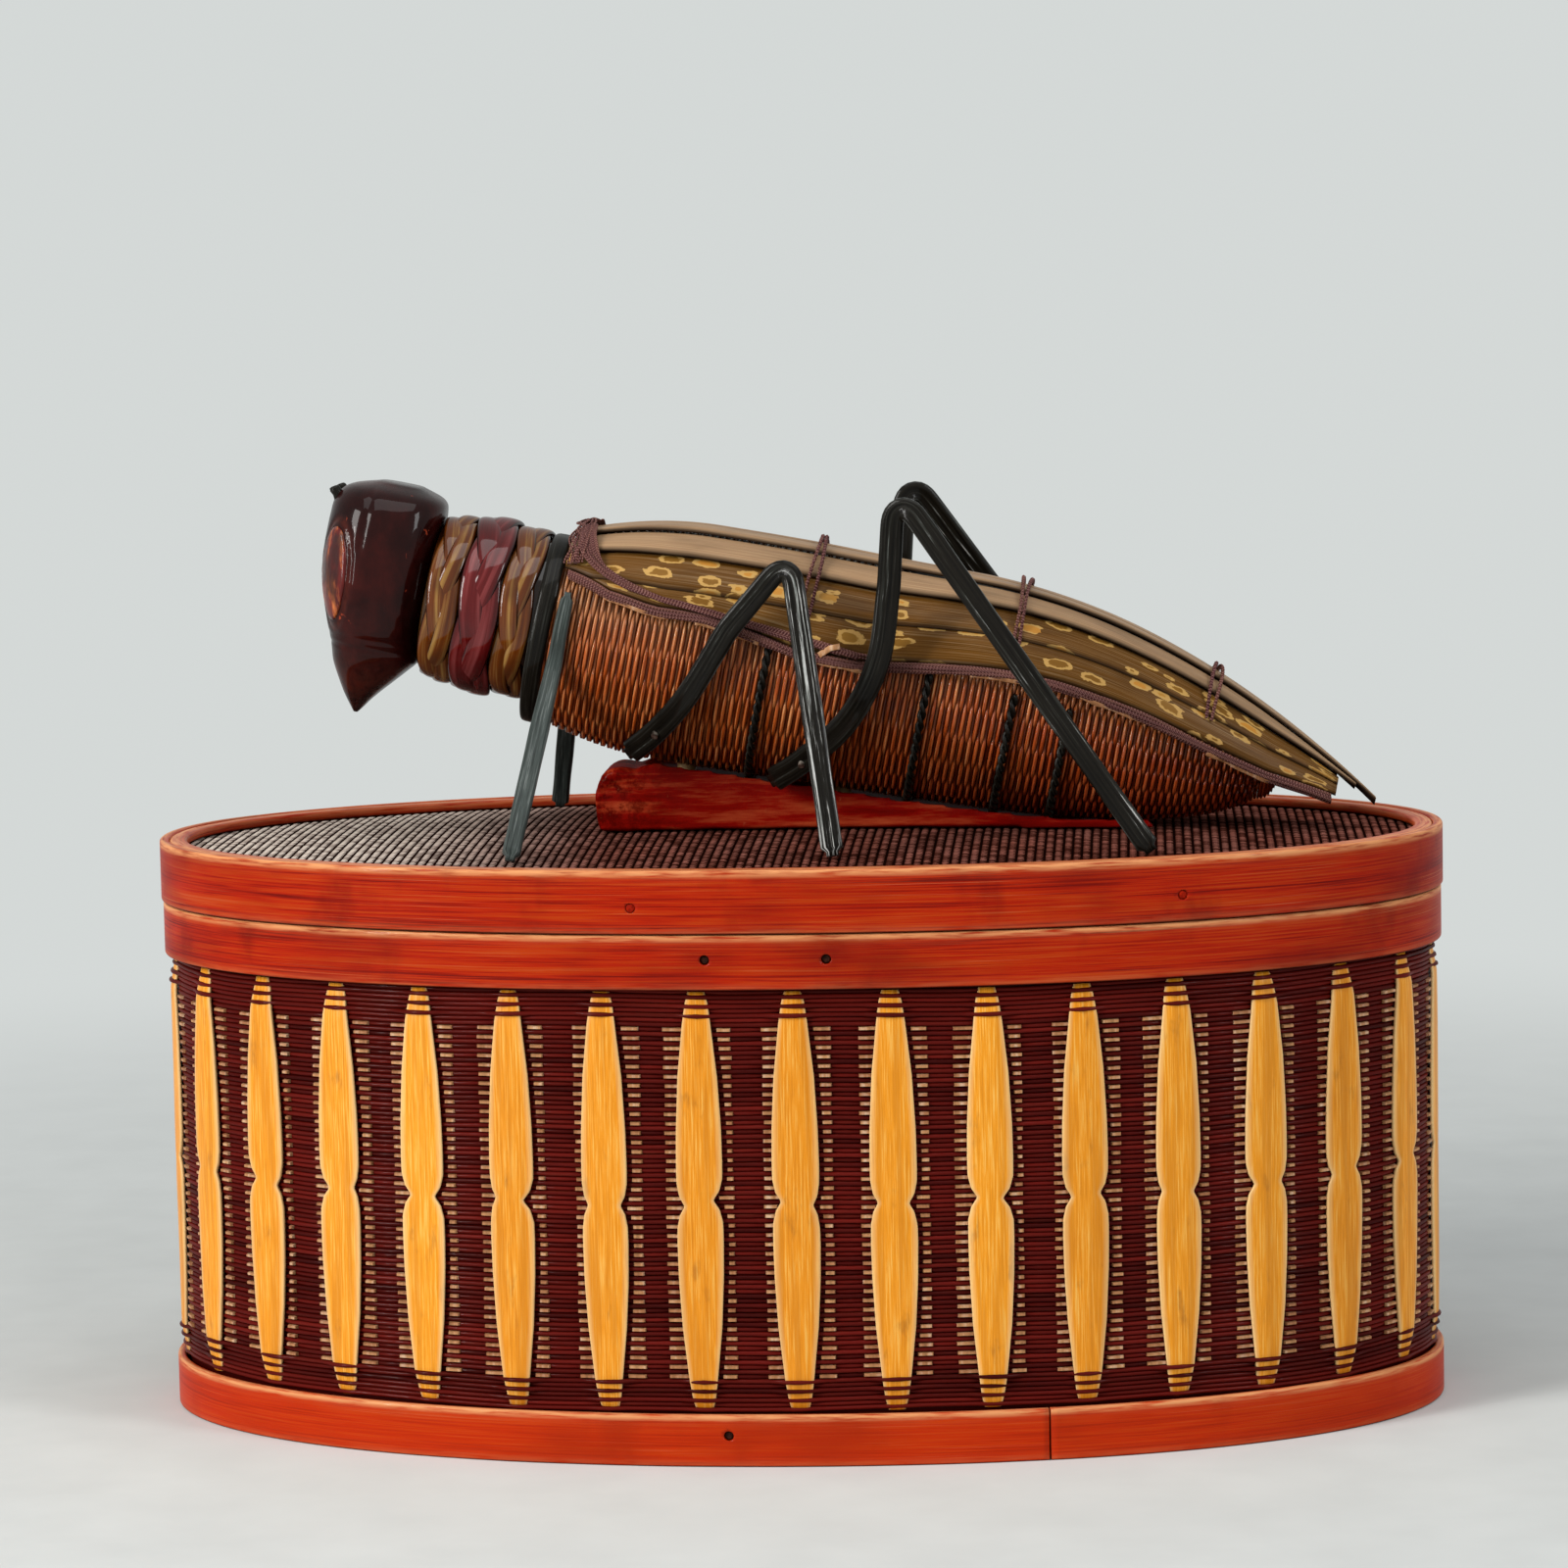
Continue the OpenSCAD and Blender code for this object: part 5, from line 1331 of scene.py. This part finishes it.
class MakeHead(bpy.types.Operator):
    """Carved head with grooved eye rims, cut lines over the jaw, inset eyes and feeler stubs"""

    bl_idname = "cricket_box.head"
    bl_label = "Head"

    def execute(self, context):
        _, c, hue = shapes(context)
        rows = through(HEAD_ROWS, 9)
        tall, fore, aft, wide = (rows[:, k:k + 1] for k in range(4))
        t = np.linspace(0, 2 * PI, HEAD_COLS, endpoint=False)
        co, si = np.cos(t), np.sin(t)
        front, back = HEAD_BACK - fore * HEAD_LONG, HEAD_BACK - np.maximum(0, aft) * HEAD_LONG
        reach = np.where(co > 0, np.abs(co) ** 0.6, -np.abs(co) ** 0.85)
        u = (front + back) / 2 + (back - front) / 2 * reach
        v = HEAD_WIDE / 2 * wide * np.sign(si) * np.abs(si) ** 0.8
        w = np.broadcast_to(HEAD_LOW + tall * HEAD_TALL, u.shape)
        eye = on_head(0.815, 0.35, 0.59)
        out = np.array([-math.cos(EYE_LEAN), math.sin(EYE_LEAN)])
        along = np.array([math.sin(EYE_LEAN), math.cos(EYE_LEAN)])
        beside_eye = lambda u, v: np.stack([u - eye[0], np.abs(v) - eye[1]], -1)
        rho = np.hypot(beside_eye(u, v) @ along / EYE_WIDE, (w - eye[2]) / EYE_TALL)
        near = beside_eye(u, v) @ out > -6
        lift = near * (-0.35 * bell(rho - 1.17, 0.06) - 0.4 * np.clip(1.05 - rho, 0, 0.3) / 0.3)
        side = np.clip(np.abs(si) * 1.3, 0, 1)
        for at, deep in JAW_LINES:
            line = HEAD_LOW + HEAD_TALL * (at + 0.012 * (u - HEAD_BACK + 12) / 12)
            lift = lift - deep * side * bell(w - line, 0.5)
        lift = lift - 0.3 * bell(u - (HEAD_BACK - 0.62 * HEAD_LONG), 0.55) * (tall > 0.72) * side
        lift = lift + 0.12 * wander(u + 1.7 * w, 81, 9) * wander(v + w, 82, 8)
        cut = np.stack([u - (front + back) / 2, v], -1)
        push = cut / np.maximum(0.5, np.linalg.norm(cut, axis=-1, keepdims=True))
        hold = np.clip((HEAD_BACK - 1.0 - u) / 2.0, 0, 1)
        u, v = u + push[..., 0] * lift * hold, v + push[..., 1] * lift * hold
        wear = np.clip(near * bell(rho - 1.14, 0.08) * 0.1 + 0.08 * bell(tall - 0.12, 0.12), 0, 1)
        piece = Piece()
        piece.tube(c.world(np.stack([u, v, w], -1)), wear=wear)
        piece.make("carved_head", "lid", "head_lacquer", finish(head_finish, hue), replaces=["head"])

        beside = (v > 0) & near & (rho < 1.6)
        here = beside_eye(u, v)[beside]
        socket_y, socket_z, socket_x = here @ along, (w - eye[2])[beside], here @ out
        share = np.concatenate([np.linspace(0.04, 1, 14), [0.9, 0.04]])[:, None]
        dome = np.concatenate([0.8 * np.sqrt(1 - np.linspace(0, 1, 14) ** 2) + 0.12, [-0.6, -0.6]])[:, None]
        y, z = EYE_WIDE * share * co[::4], EYE_TALL * share * si[::4]
        weight = 1 / ((y[..., None] - socket_y) ** 2 + (z[..., None] - socket_z) ** 2 + 0.06) ** 3
        x = np.sum(weight * socket_x, -1) / np.sum(weight, -1) + dome
        flat = eye[:2] + x[..., None] * out + y[..., None] * along
        for name, sign in (("left_eye", -1), ("right_eye", 1)):
            piece = Piece()
            piece.tube(c.world(np.stack([flat[..., 0], sign * flat[..., 1], eye[2] + z], -1)))
            piece.make("inset_" + name, "lid", "eye_red", finish(eye_finish, hue), replaces=[name])

        stubs = Piece()
        way = np.array([-math.sin(STUB_LEAN), 0, math.cos(STUB_LEAN)])
        ring = np.linspace(0, 2 * PI, 14)
        section = np.stack([round_section(r, 14) * (1 + 0.08 * np.sin(3 * ring + r * 9))[:, None]
                            for r in STUB_R])
        for sign in (-1, 1):
            bend = np.array([0, 0, 0.3]) * np.sin(STUB_AT * 5)[:, None]
            path = on_head(0.9, sign * 0.14, 0.87) + way * (STUB_LONG * STUB_AT)[:, None] + bend
            stubs.strand(c.world(path), section, (0, 1, 0))
        stubs.make("cut_feelers", "lid", "leg_bamboo", finish(leg_finish, hue), replaces=["antenna_stubs"])
        return {"FINISHED"}


# Points along and across a wing strip, and width of the whole half case for its finish
STRIP_STEPS, STRIP_COLS, CASE_WIDE = 130, 9, 34.0


def wing_strip(piece, c, u1, a0, a1, lift, sign, seed, thick=1.05):
    """One lapped strip between two shares of the half angle; lift is the height of its underside."""
    u0 = max(c.ROOT, float(np.interp(abs(a1) + 0.03, c.TRIM_SHARE, c.TRIM_U)))
    u = np.linspace(u0, u1, STRIP_STEPS)[:, None]
    f = np.linspace(0, 1, STRIP_COLS)
    outer = math.copysign(1, a0) * np.minimum(abs(a0), c.wing_share(u))
    angle = sign * c.wing_low(u) * (outer + (a1 - outer) * f)
    under = lift(f) + 0.05 * wander(u, seed, 45)
    crown = thick * (1 - 0.45 * np.abs(2 * f - 1) ** 6)
    bottom, top = (c.world(c.wing(u, angle, out)) for out in (under, under + crown))
    wide = np.concatenate([f, f[::-1]]) * abs(a1 - a0) * CASE_WIDE
    # dark is 1 along the underside and near the edges on top: the finish paints these near black as painted
    # shade between the lapped strips.
    dark = np.concatenate([np.ones(STRIP_COLS), step(np.abs(2 * f[::-1] - 1), 0.86, 0.14) * 0.8])
    rings = np.concatenate([bottom, top[:, ::-1]], 1)
    piece.tube(rings, pairs(u + seed * 53.0, wide + seed * 17.0), wear=dark)


class MakeWings(bpy.types.Operator):
    """Wing case of lapped bamboo strips: ridge, shoulders and spotted sides"""

    bl_idname = "cricket_box.wings"
    bl_label = "Wings"

    def execute(self, context):
        _, c, hue = shapes(context)
        plain, spotted = finish(wing_finish, hue, False), finish(wing_finish, hue, True)
        lap, long = c.LAP, c.wing_len
        arch = lambda f: lap - (lap - 0.5) * 4 * f * (1 - f)
        slope = lambda f: lap * (1 - f)
        curl = lambda f: 0.75 * (1 - f) ** 1.5
        ridge = Piece()
        for sign, seed in ((-1, 2), (1, 3)):
            wing_strip(ridge, c, long, sign * 0.26, sign * 0.008, lambda f: arch(f * 0.485), 1, seed)
        ridge.make("wing_ridge_strips", "lid", "wing_bamboo", plain, replaces=["wing_ridge"])
        for side, sign, seed in (("left", 1, 5), ("right", -1, 9)):
            shoulder, flank = Piece(), Piece()
            wing_strip(shoulder, c, long - 5, -0.52, -0.22, slope, sign, seed)
            shoulder.make(side + "_shoulder_strip", "lid", "wing_bamboo", plain,
                          replaces=[side + "_wing_shoulder"])
            wing_strip(flank, c, long - 9, -0.76, -0.47, curl, sign, seed + 1, 0.9)
            wing_strip(flank, c, long - 9, -1.0, -0.72, np.zeros_like, sign, seed + 2, 0.9)
            flank.make(side + "_spotted_strips", "lid", "wing_bamboo", spotted,
                       replaces=[side + "_wing_side"])
        return {"FINISHED"}


# Threads of an edge cord, points along it, and places of the pale splints on it
CORD_THREADS, CORD_STEPS, SPLINT_AT = 7, 300, (0.05, 0.17, 0.31, 0.52, 0.66, 0.83)
# Loose threads from a wing root: places of the first, steps to the next, shares of the wing's edge
LOOSE_COUNT, LOOSE_AT = 15, np.array([4.2, 4.6, 6, 12, 23])
LOOSE_STEP = np.array([0.22, 0.25, 0.42, 0.7, 0.9])
LOOSE_SHARE = np.array([0.3, 0.6, 0.84, 0.93, 0.97, 0.99])
# The tied-off end of the left cord: place, share of the half angle and height
TIED_END = np.array([[60.5, 1.02, 1.7], [62.5, 0.97, 2.2], [64.5, 0.95, 2.6]])
# Turns of the root lashing, radius of its thread, and places of the ties as shares of the body
LASH_TURNS, THREAD_R, TIE_AT = 15, 0.22, (0.347, 0.627, 0.9)
# Height of a thread over the wing case
THREAD_OUT = 1.45


class MakeThreads(bpy.types.Operator):
    """Maroon thread: the corded wing edges, the lashing at the wing roots and the ties across the back"""

    bl_idname = "cricket_box.threads"
    bl_label = "Lashings and ties"

    def execute(self, context):
        _, c, hue = shapes(context)
        thread, splint = finish(thread_finish, hue), finish(stake_finish, hue)
        axis = np.array([math.cos(c.lean), 0, -math.sin(c.lean)])
        thin = round_section(THREAD_R, 6)
        rng = np.random.default_rng(33)
        lap_at = lambda f: c.LAP * np.clip((0.72 - np.abs(f)) / 0.14, 0, 1)
        for side, sign in (("left", -1), ("right", 1)):
            cord = Piece()
            u = np.linspace(c.ROOT + 1.2, c.wing_len - 10, CORD_STEPS)
            tall = np.array([c.wing_high(x) for x in u])
            angle = sign * (c.wing_low(u) * c.wing_share(u) + 1.35 / np.maximum(4, tall) * 180 / PI)
            path = c.world(c.wing(u, angle, 0.9))
            for k in range(CORD_THREADS):
                turn = 2 * PI * k / CORD_THREADS + 0.9 * wander(u, 700 + 10 * k + sign, 38)
                loose = 0.72 + 0.14 * wander(u, 800 + 10 * k + sign, 22)
                round_it = np.stack([0 * turn, np.cos(turn), np.sin(turn)], -1)
                line = path + loose[:, None] * round_it
                cord.strand(line, round_section(0.45, 7), (1, 0, 0.2), tone=rng.uniform(0, 1))
            for at in SPLINT_AT:
                some = slice(int(at * CORD_STEPS), int(at * CORD_STEPS) + 26)
                low = path[some] + np.array([0, sign * 0.55, -0.75])
                low = low + 0.15 * wander(u[some], 60 + sign, 9)[:, None]
                cord.strand(low, strip_section(1.1, 0.35), (0, sign, -0.4), tone=0.7, mat=1)
            for k in range(LOOSE_COUNT):
                places = np.append(LOOSE_AT + LOOSE_STEP * k, rng.uniform(38, 76))
                f = (LOOSE_SHARE + rng.uniform(-0.012, 0.012, 6)) * c.wing_share(places)
                out = 1.6 + lap_at(f) + rng.uniform(0, 0.4, 6)
                at, f, out = through(np.stack([places, f, out], 1), 14).T
                points = c.on_wing(at, sign * f, out)
                up = points - c.world(c.wing(at, 0, -20))
                cord.strand(points, thin, up, tone=rng.uniform(0, 1))
            if side == "left":
                at, f, out = TIED_END.T
                stub = c.on_wing(at, sign * f, out)
                cord.strand(stub, strip_section(1.3, 0.5), (0, sign, 0.3), tone=1.0, mat=1)
            cord.make(side + "_corded_edge", "lid", "maroon_thread", thread, splint,
                      replaces=[side + "_wing_cord"])
        lash = Piece()
        f = np.linspace(-0.66, 0.66, 90)
        for k in range(LASH_TURNS):
            u = 3.2 + 0.22 * k + 0.8 * wander(f * 40, 640 + k, 17) + 0.9 * f**2 * (k % 3 - 1)
            points = c.on_wing(u, f, THREAD_OUT + lap_at(f) + 0.26 * (k % 3))
            lash.strand(points, thin, axis, tone=rng.uniform(0, 1))
        lash.make("root_lashing", "lid", "maroon_thread", thread, replaces=["wing_lashing"])
        ties = Piece()
        f = np.linspace(-0.8, 0.8, 80)
        for at in TIE_AT:
            for k in (-1, 1):
                u = at * c.len + k * 0.72 + 0.35 * np.sin(5 * f + at * 9 + k)
                points = c.on_wing(u, f, THREAD_OUT + lap_at(f))
                for line in ply(points, axis, THREAD_R, 2.6, 2, k):
                    ties.strand(line, round_section(0.27, 6), axis, tone=rng.uniform(0, 1))
        ties.make("back_ties", "lid", "maroon_thread", thread, replaces=["wing_ties"])
        return {"FINISHED"}


# Thickness of a leg, and widths of the front, middle and hind legs
LEG_T, LEG_WIDE = 2.2, (4.2, 4.6, 4.8)
# Share of painted highlight streaks above and below the knee of each leg; from about 0.8 up they turn into a
# grey-green painted sheen
LEG_SHEEN = ((0.9, 0.95), (0.55, 0.66), (0.53, 0.55))
# Widths of each leg at hip and foot, as shares of its width
LEG_TAPER = ((0.65, 0.9), (1.15, 1.0), (1.15, 0.95))


def leg_paths(box, c):
    """Middle lines of the front, middle and hind legs of the left side, in the cricket's frame."""
    across = np.array([0, -1, 0.05])
    out = c.SEAT + LEG_T / 2 + 0.65
    hind_out = out + 0.4
    clear = -(c.w + c.GAP + 0.9 + 1.1 + c.SEAT + LEG_T / 2 + 0.6)
    spread_y = -(box.b - 24)

    def on_body(share, angle, gap):
        return c.body(share * c.len, angle, gap)

    def on_panel(x, start, wide):
        """End of a leg that comes from start and stands on the panel."""
        z = float(box.panel_z(np.array(x), np.array(spread_y)))
        t = unit(c.local(np.array([x, spread_y, z])) - start)
        v = unit(across - across @ t * t)
        s = np.cross(t, v)
        up = np.array([-math.sin(c.lean), 0, math.cos(c.lean)])
        lift = z + c.SEAT + wide / 2 * abs(s @ up) + 0.3 * LEG_T * abs(v @ up)
        return c.local(np.array([x, spread_y, lift]))

    def knee(share, gap, rise):
        """Point of a knee at a height over the panel."""
        u = share * c.len
        z = float(box.panel_z(np.array(-c.front + u), np.array(0.0)))
        return np.array([u, clear - gap, (z + rise - c.z + u * math.sin(c.lean)) / math.cos(c.lean)])

    def bent(thigh, k, foot, r):
        """A thigh, an arc of that radius at the knee, and the foot."""
        d1, d2 = unit(thigh[-1] - k), unit(foot - k)
        half = math.acos(float(d1 @ d2)) / 2
        axis, side = unit(d1 + d2), unit(d1 - d2)
        centre = k + axis * r / math.sin(half)
        g = ((PI / 2 - half) * (1 - np.arange(9) / 4))[:, None]
        arc = centre + r * (-axis * np.cos(g) + side * np.sin(g))
        return np.concatenate([through(thigh, 8), arc, [foot]])

    front_wide, middle_wide, hind_wide = LEG_WIDE
    at = 0.0304
    hip = on_body(at, -104, out + 0.3)
    foot = on_panel(-c.front - 3.5, on_body(at, -104, out), front_wide)
    front = through([on_body(at, -64, out), on_body(at, -84, out), hip, hip + 0.3 * (foot - hip), foot], 8)
    k = knee(0.3137, 1, 61)
    foot = on_panel(-c.front + 0.4006 * c.len, k, middle_wide)
    thigh = [on_body(0.146, -150, out), on_body(0.18, -128, out), on_body(0.2143, -106, out + 0.2),
             np.array([0.2516 * c.len, clear, 0.392 * c.h])]
    middle = bent(thigh, k, foot, 2.7)
    k = knee(0.4311, 2, 75.5)
    foot = on_panel(-c.front + 0.8137 * c.len, k, hind_wide)
    thigh = [on_body(0.3416, -153, hind_out), on_body(0.379, -132, hind_out),
             on_body(0.4286, -106, hind_out + 0.2), np.array([0.4547 * c.len, clear, 0.372 * c.h]),
             np.array([0.4497 * c.len, clear - 0.8, 1.02 * c.h])]
    return ("front_leg", front), ("middle_leg", middle), ("hind_leg", bent(thigh, k, foot, 2.8))


class MakeLegs(bpy.types.Operator):
    """Legs, each one black-stained bamboo strip bent at the knee, with ribbed fibres"""

    bl_idname = "cricket_box.legs"
    bl_label = "Legs"

    def execute(self, context):
        box, c, hue = shapes(context)
        black = finish(leg_finish, hue)
        base = strip_section(1.0, 1.0, 28, 5.0)
        rib = 1 - 0.07 * np.cos(base[:, 0] * 2 * PI * 4.5) * (np.abs(base[:, 1]) > 0.3)
        edge = step(np.abs(base[:, 0]), 0.44, 0.06)
        legs = zip(leg_paths(box, c), LEG_WIDE, LEG_TAPER, LEG_SHEEN)
        for (name, path), width, (hip, foot), (above, below) in legs:
            path = even(path, 0.9)
            for _ in range(3):
                path[1:-1] = 0.25 * path[:-2] + 0.5 * path[1:-1] + 0.25 * path[2:]
            n = len(path)
            f = np.linspace(0, 1, n)
            taper = np.where(f < 0.5, hip + (1 - hip) * 2 * f, 1 + (foot - 1) * (2 * f - 1))
            widths = width * taper * (1 + 0.025 * wander(f * 100, 90, 22))
            ends = np.clip(np.minimum(f, 1 - f) * n / 2.0, 0.55, 1)
            section = np.stack([base[:, 0] * (widths * ends)[:, None],
                                base[:, 1] * rib * (LEG_T * ends)[:, None]], -1)
            tone = above + (below - above) * step(np.arange(n), np.argmax(path[:, 2]), 8)
            for side, sign, shift in (("left", 1, 31.0), ("right", -1, 83.0)):
                piece = Piece()
                up = np.array([0.05 * math.sin(c.lean), -1.0 * sign, 0.05 * math.cos(c.lean)])
                line = c.world(path * np.array([1, sign, 1]))
                piece.strand(line, section, up, tone=tone[:, None], wear=edge, shift=(shift, 7.0))
                piece.make("bent_" + side + "_" + name, "lid", "leg_bamboo", black,
                           replaces=[side + "_" + name])
        return {"FINISHED"}


class MakePins(bpy.types.Operator):
    """Dull wire pins at the hips, kept from the CAD part"""

    bl_idname = "cricket_box.pins"
    bl_label = "Hip pins"

    def execute(self, context):
        dress("hip_pins", finish(wire_finish))
        return {"FINISHED"}


# Stage

# Colour of the floor and the background
PALE = (0.66, 0.69, 0.68)
# Lamps: name, place, aim, size, power and colour
LAMPS = (
    ("window left", (-1.1, -0.9, 0.95), (0, 0, 0.11), (0.45, 0.8), 17.0, (1.0, 0.98, 0.95)),
    ("side window", (-1.0, -0.85, 0.4), (0, 0, 0.15), (0.1, 0.6), 5.0, (1.0, 0.99, 0.97)),
    ("window right", (1.25, -0.75, 0.8), (0, 0, 0.09), (0.3, 0.9), 8.5, (0.97, 0.99, 1.0)),
    ("ceiling", (0.1, -0.35, 1.5), (0, 0.05, 0.1), (1.1, 0.9), 7.5, (1.0, 1.0, 1.0)),
)
# Colour and strength of the room's light
ROOM_COLOUR, ROOM_STRENGTH = (0.96, 0.98, 1.0, 1.0), 0.22
# Camera: place, yaw, pitch and roll, and its focal length and picture width in pixels
CAMERA_AT, CAMERA_TURN = (0.0753, -1.1639, 0.2656), (0.067, 0.112, -0.02)
FOCAL_PIXELS, PICTURE_PIXELS, SENSOR = 5487, 1600, 36.0
# Half the width of the floor
FLOOR = 2


def seen_directly(tree):
    """1 for rays that show the background: those from the camera, and those that gloss and glass send on."""
    path = tree.nodes.new("ShaderNodeLightPath")
    total = path.outputs["Is Camera Ray"]
    for name in ("Is Glossy Ray", "Is Transmission Ray"):
        add = tree.nodes.new("ShaderNodeMath")
        add.operation, add.use_clamp = "ADD", True
        tree.links.new(total, add.inputs[0])
        tree.links.new(path.outputs[name], add.inputs[1])
        total = add.outputs[0]
    return total


def floor_finish(pale):
    """Pale floor that keeps the shadow near the object and turns into the background away from it."""
    f = Finish("pale floor", rough=0.9, spec=0.1)
    f.done(f.ramp(f.noise(f.place((40, 40, 40)), 3.0), (0.3, shade(pale, 0.93)), (0.7, shade(pale, 0.99))))
    far = f.node("ShaderNodeVectorMath", {0: f.place()}, operation="LENGTH").outputs["Value"]
    away = f.band(far, 0.24, 0.7)
    glow = f.node("ShaderNodeEmission", {"Color": pale})
    plain = f.times(away, seen_directly(f.tree))
    both = f.node("ShaderNodeMixShader", {0: plain, 1: f.shader.outputs[0], 2: glow.outputs[0]})
    f.feed(f.tree.nodes["Material Output"].inputs["Surface"], both.outputs[0])
    return f.material


class MakeStage(bpy.types.Operator):
    """Pale floor and backdrop, soft lights and the camera"""

    bl_idname = "cricket_box.stage"
    bl_label = "Stage"

    def execute(self, context):
        scene = context.scene
        scene.view_settings.view_transform = "Standard"
        mesh = bpy.data.meshes.new("pale_floor")
        corners = [(x * FLOOR, y * FLOOR, 0) for x, y in ((-1, -1), (1, -1), (1, 1), (-1, 1))]
        mesh.from_pydata(corners, [], [(0, 1, 2, 3)])
        floor = bpy.data.objects.new("pale_floor", mesh)
        scene.collection.objects.link(floor)
        mesh.materials.append(floor_finish(PALE))
        world = bpy.data.worlds.new("soft room")
        scene.world = world
        world.use_nodes = True
        tree = world.node_tree
        room = tree.nodes["Background"]
        room.inputs["Color"].default_value = ROOM_COLOUR
        room.inputs["Strength"].default_value = ROOM_STRENGTH
        pale = tree.nodes.new("ShaderNodeBackground")
        pale.inputs["Color"].default_value = (*PALE, 1.0)
        both = tree.nodes.new("ShaderNodeMixShader")
        tree.links.new(seen_directly(tree), both.inputs[0])
        tree.links.new(room.outputs[0], both.inputs[1])
        tree.links.new(pale.outputs[0], both.inputs[2])
        tree.links.new(both.outputs[0], tree.nodes["World Output"].inputs["Surface"])
        for name, place, aim, sides, power, colour in LAMPS:
            lamp = bpy.data.lights.new(name, "AREA")
            lamp.shape, lamp.energy, lamp.color = "RECTANGLE", power, colour
            lamp.size, lamp.size_y = sides
            holder = bpy.data.objects.new(name, lamp)
            holder.location = place
            holder.rotation_euler = (Vector(aim) - Vector(place)).to_track_quat("-Z", "Y").to_euler()
            scene.collection.objects.link(holder)
        camera = bpy.data.cameras.new("photo view")
        camera.sensor_width, camera.lens = SENSOR, SENSOR * FOCAL_PIXELS / PICTURE_PIXELS
        camera.clip_start, camera.clip_end = 0.05, 20.0
        holder = bpy.data.objects.new("photo view", camera)
        yaw, pitch, roll = CAMERA_TURN
        right = Vector((math.cos(yaw), math.sin(yaw), 0))
        flat = math.cos(pitch)
        ahead = Vector((-math.sin(yaw) * flat, math.cos(yaw) * flat, -math.sin(pitch)))
        up = right.cross(ahead)
        x = right * math.cos(roll) + up * math.sin(roll)
        y = up * math.cos(roll) - right * math.sin(roll)
        turn = Matrix((x, y, -ahead)).transposed().to_4x4()
        holder.matrix_world = Matrix.Translation(CAMERA_AT) @ turn
        scene.collection.objects.link(holder)
        scene.camera = holder
        return {"FINISHED"}


MAKERS = (MakeStage, MakeBands, MakeWall, MakeSlats, MakeInside, MakePanel, MakeSaddle, MakeBody, MakeNeck,
          MakeHead, MakeWings, MakeThreads, MakeLegs, MakePins)


class CricketBoxPanel(bpy.types.Panel):
    """Lists the makers of the box and the values they use"""

    bl_idname = "VIEW3D_PT_cricket_box"
    bl_label = "Cricket box"
    bl_space_type = "VIEW_3D"
    bl_region_type = "UI"
    bl_category = "Cricket box"

    def draw(self, context):
        for field, _ in GROUPS:
            group = getattr(context.scene, field)
            column = self.layout.column(align=True)
            for name in group.__annotations__:
                column.prop(group, name)
        for maker in MAKERS:
            self.layout.operator(maker.bl_idname)


GROUPS = (("cricket_box", BoxSizes), ("cricket_body", CricketSizes), ("cricket_finish", Finishes))


def register():
    for _, group in GROUPS:
        bpy.utils.register_class(group)
    for name, group in GROUPS:
        setattr(bpy.types.Scene, name, PointerProperty(type=group))
    for kind in (*MAKERS, CricketBoxPanel):
        bpy.utils.register_class(kind)


def unregister():
    for kind in (CricketBoxPanel, *MAKERS[::-1]):
        bpy.utils.unregister_class(kind)
    for name, group in GROUPS[::-1]:
        delattr(bpy.types.Scene, name)
        bpy.utils.unregister_class(group)


def main():
    register()
    for maker in MAKERS:
        family, name = maker.bl_idname.split(".")
        if getattr(getattr(bpy.ops, family), name)() != {"FINISHED"}:
            raise RuntimeError(maker.bl_label + " did not finish")


if __name__ == "__main__":
    main()
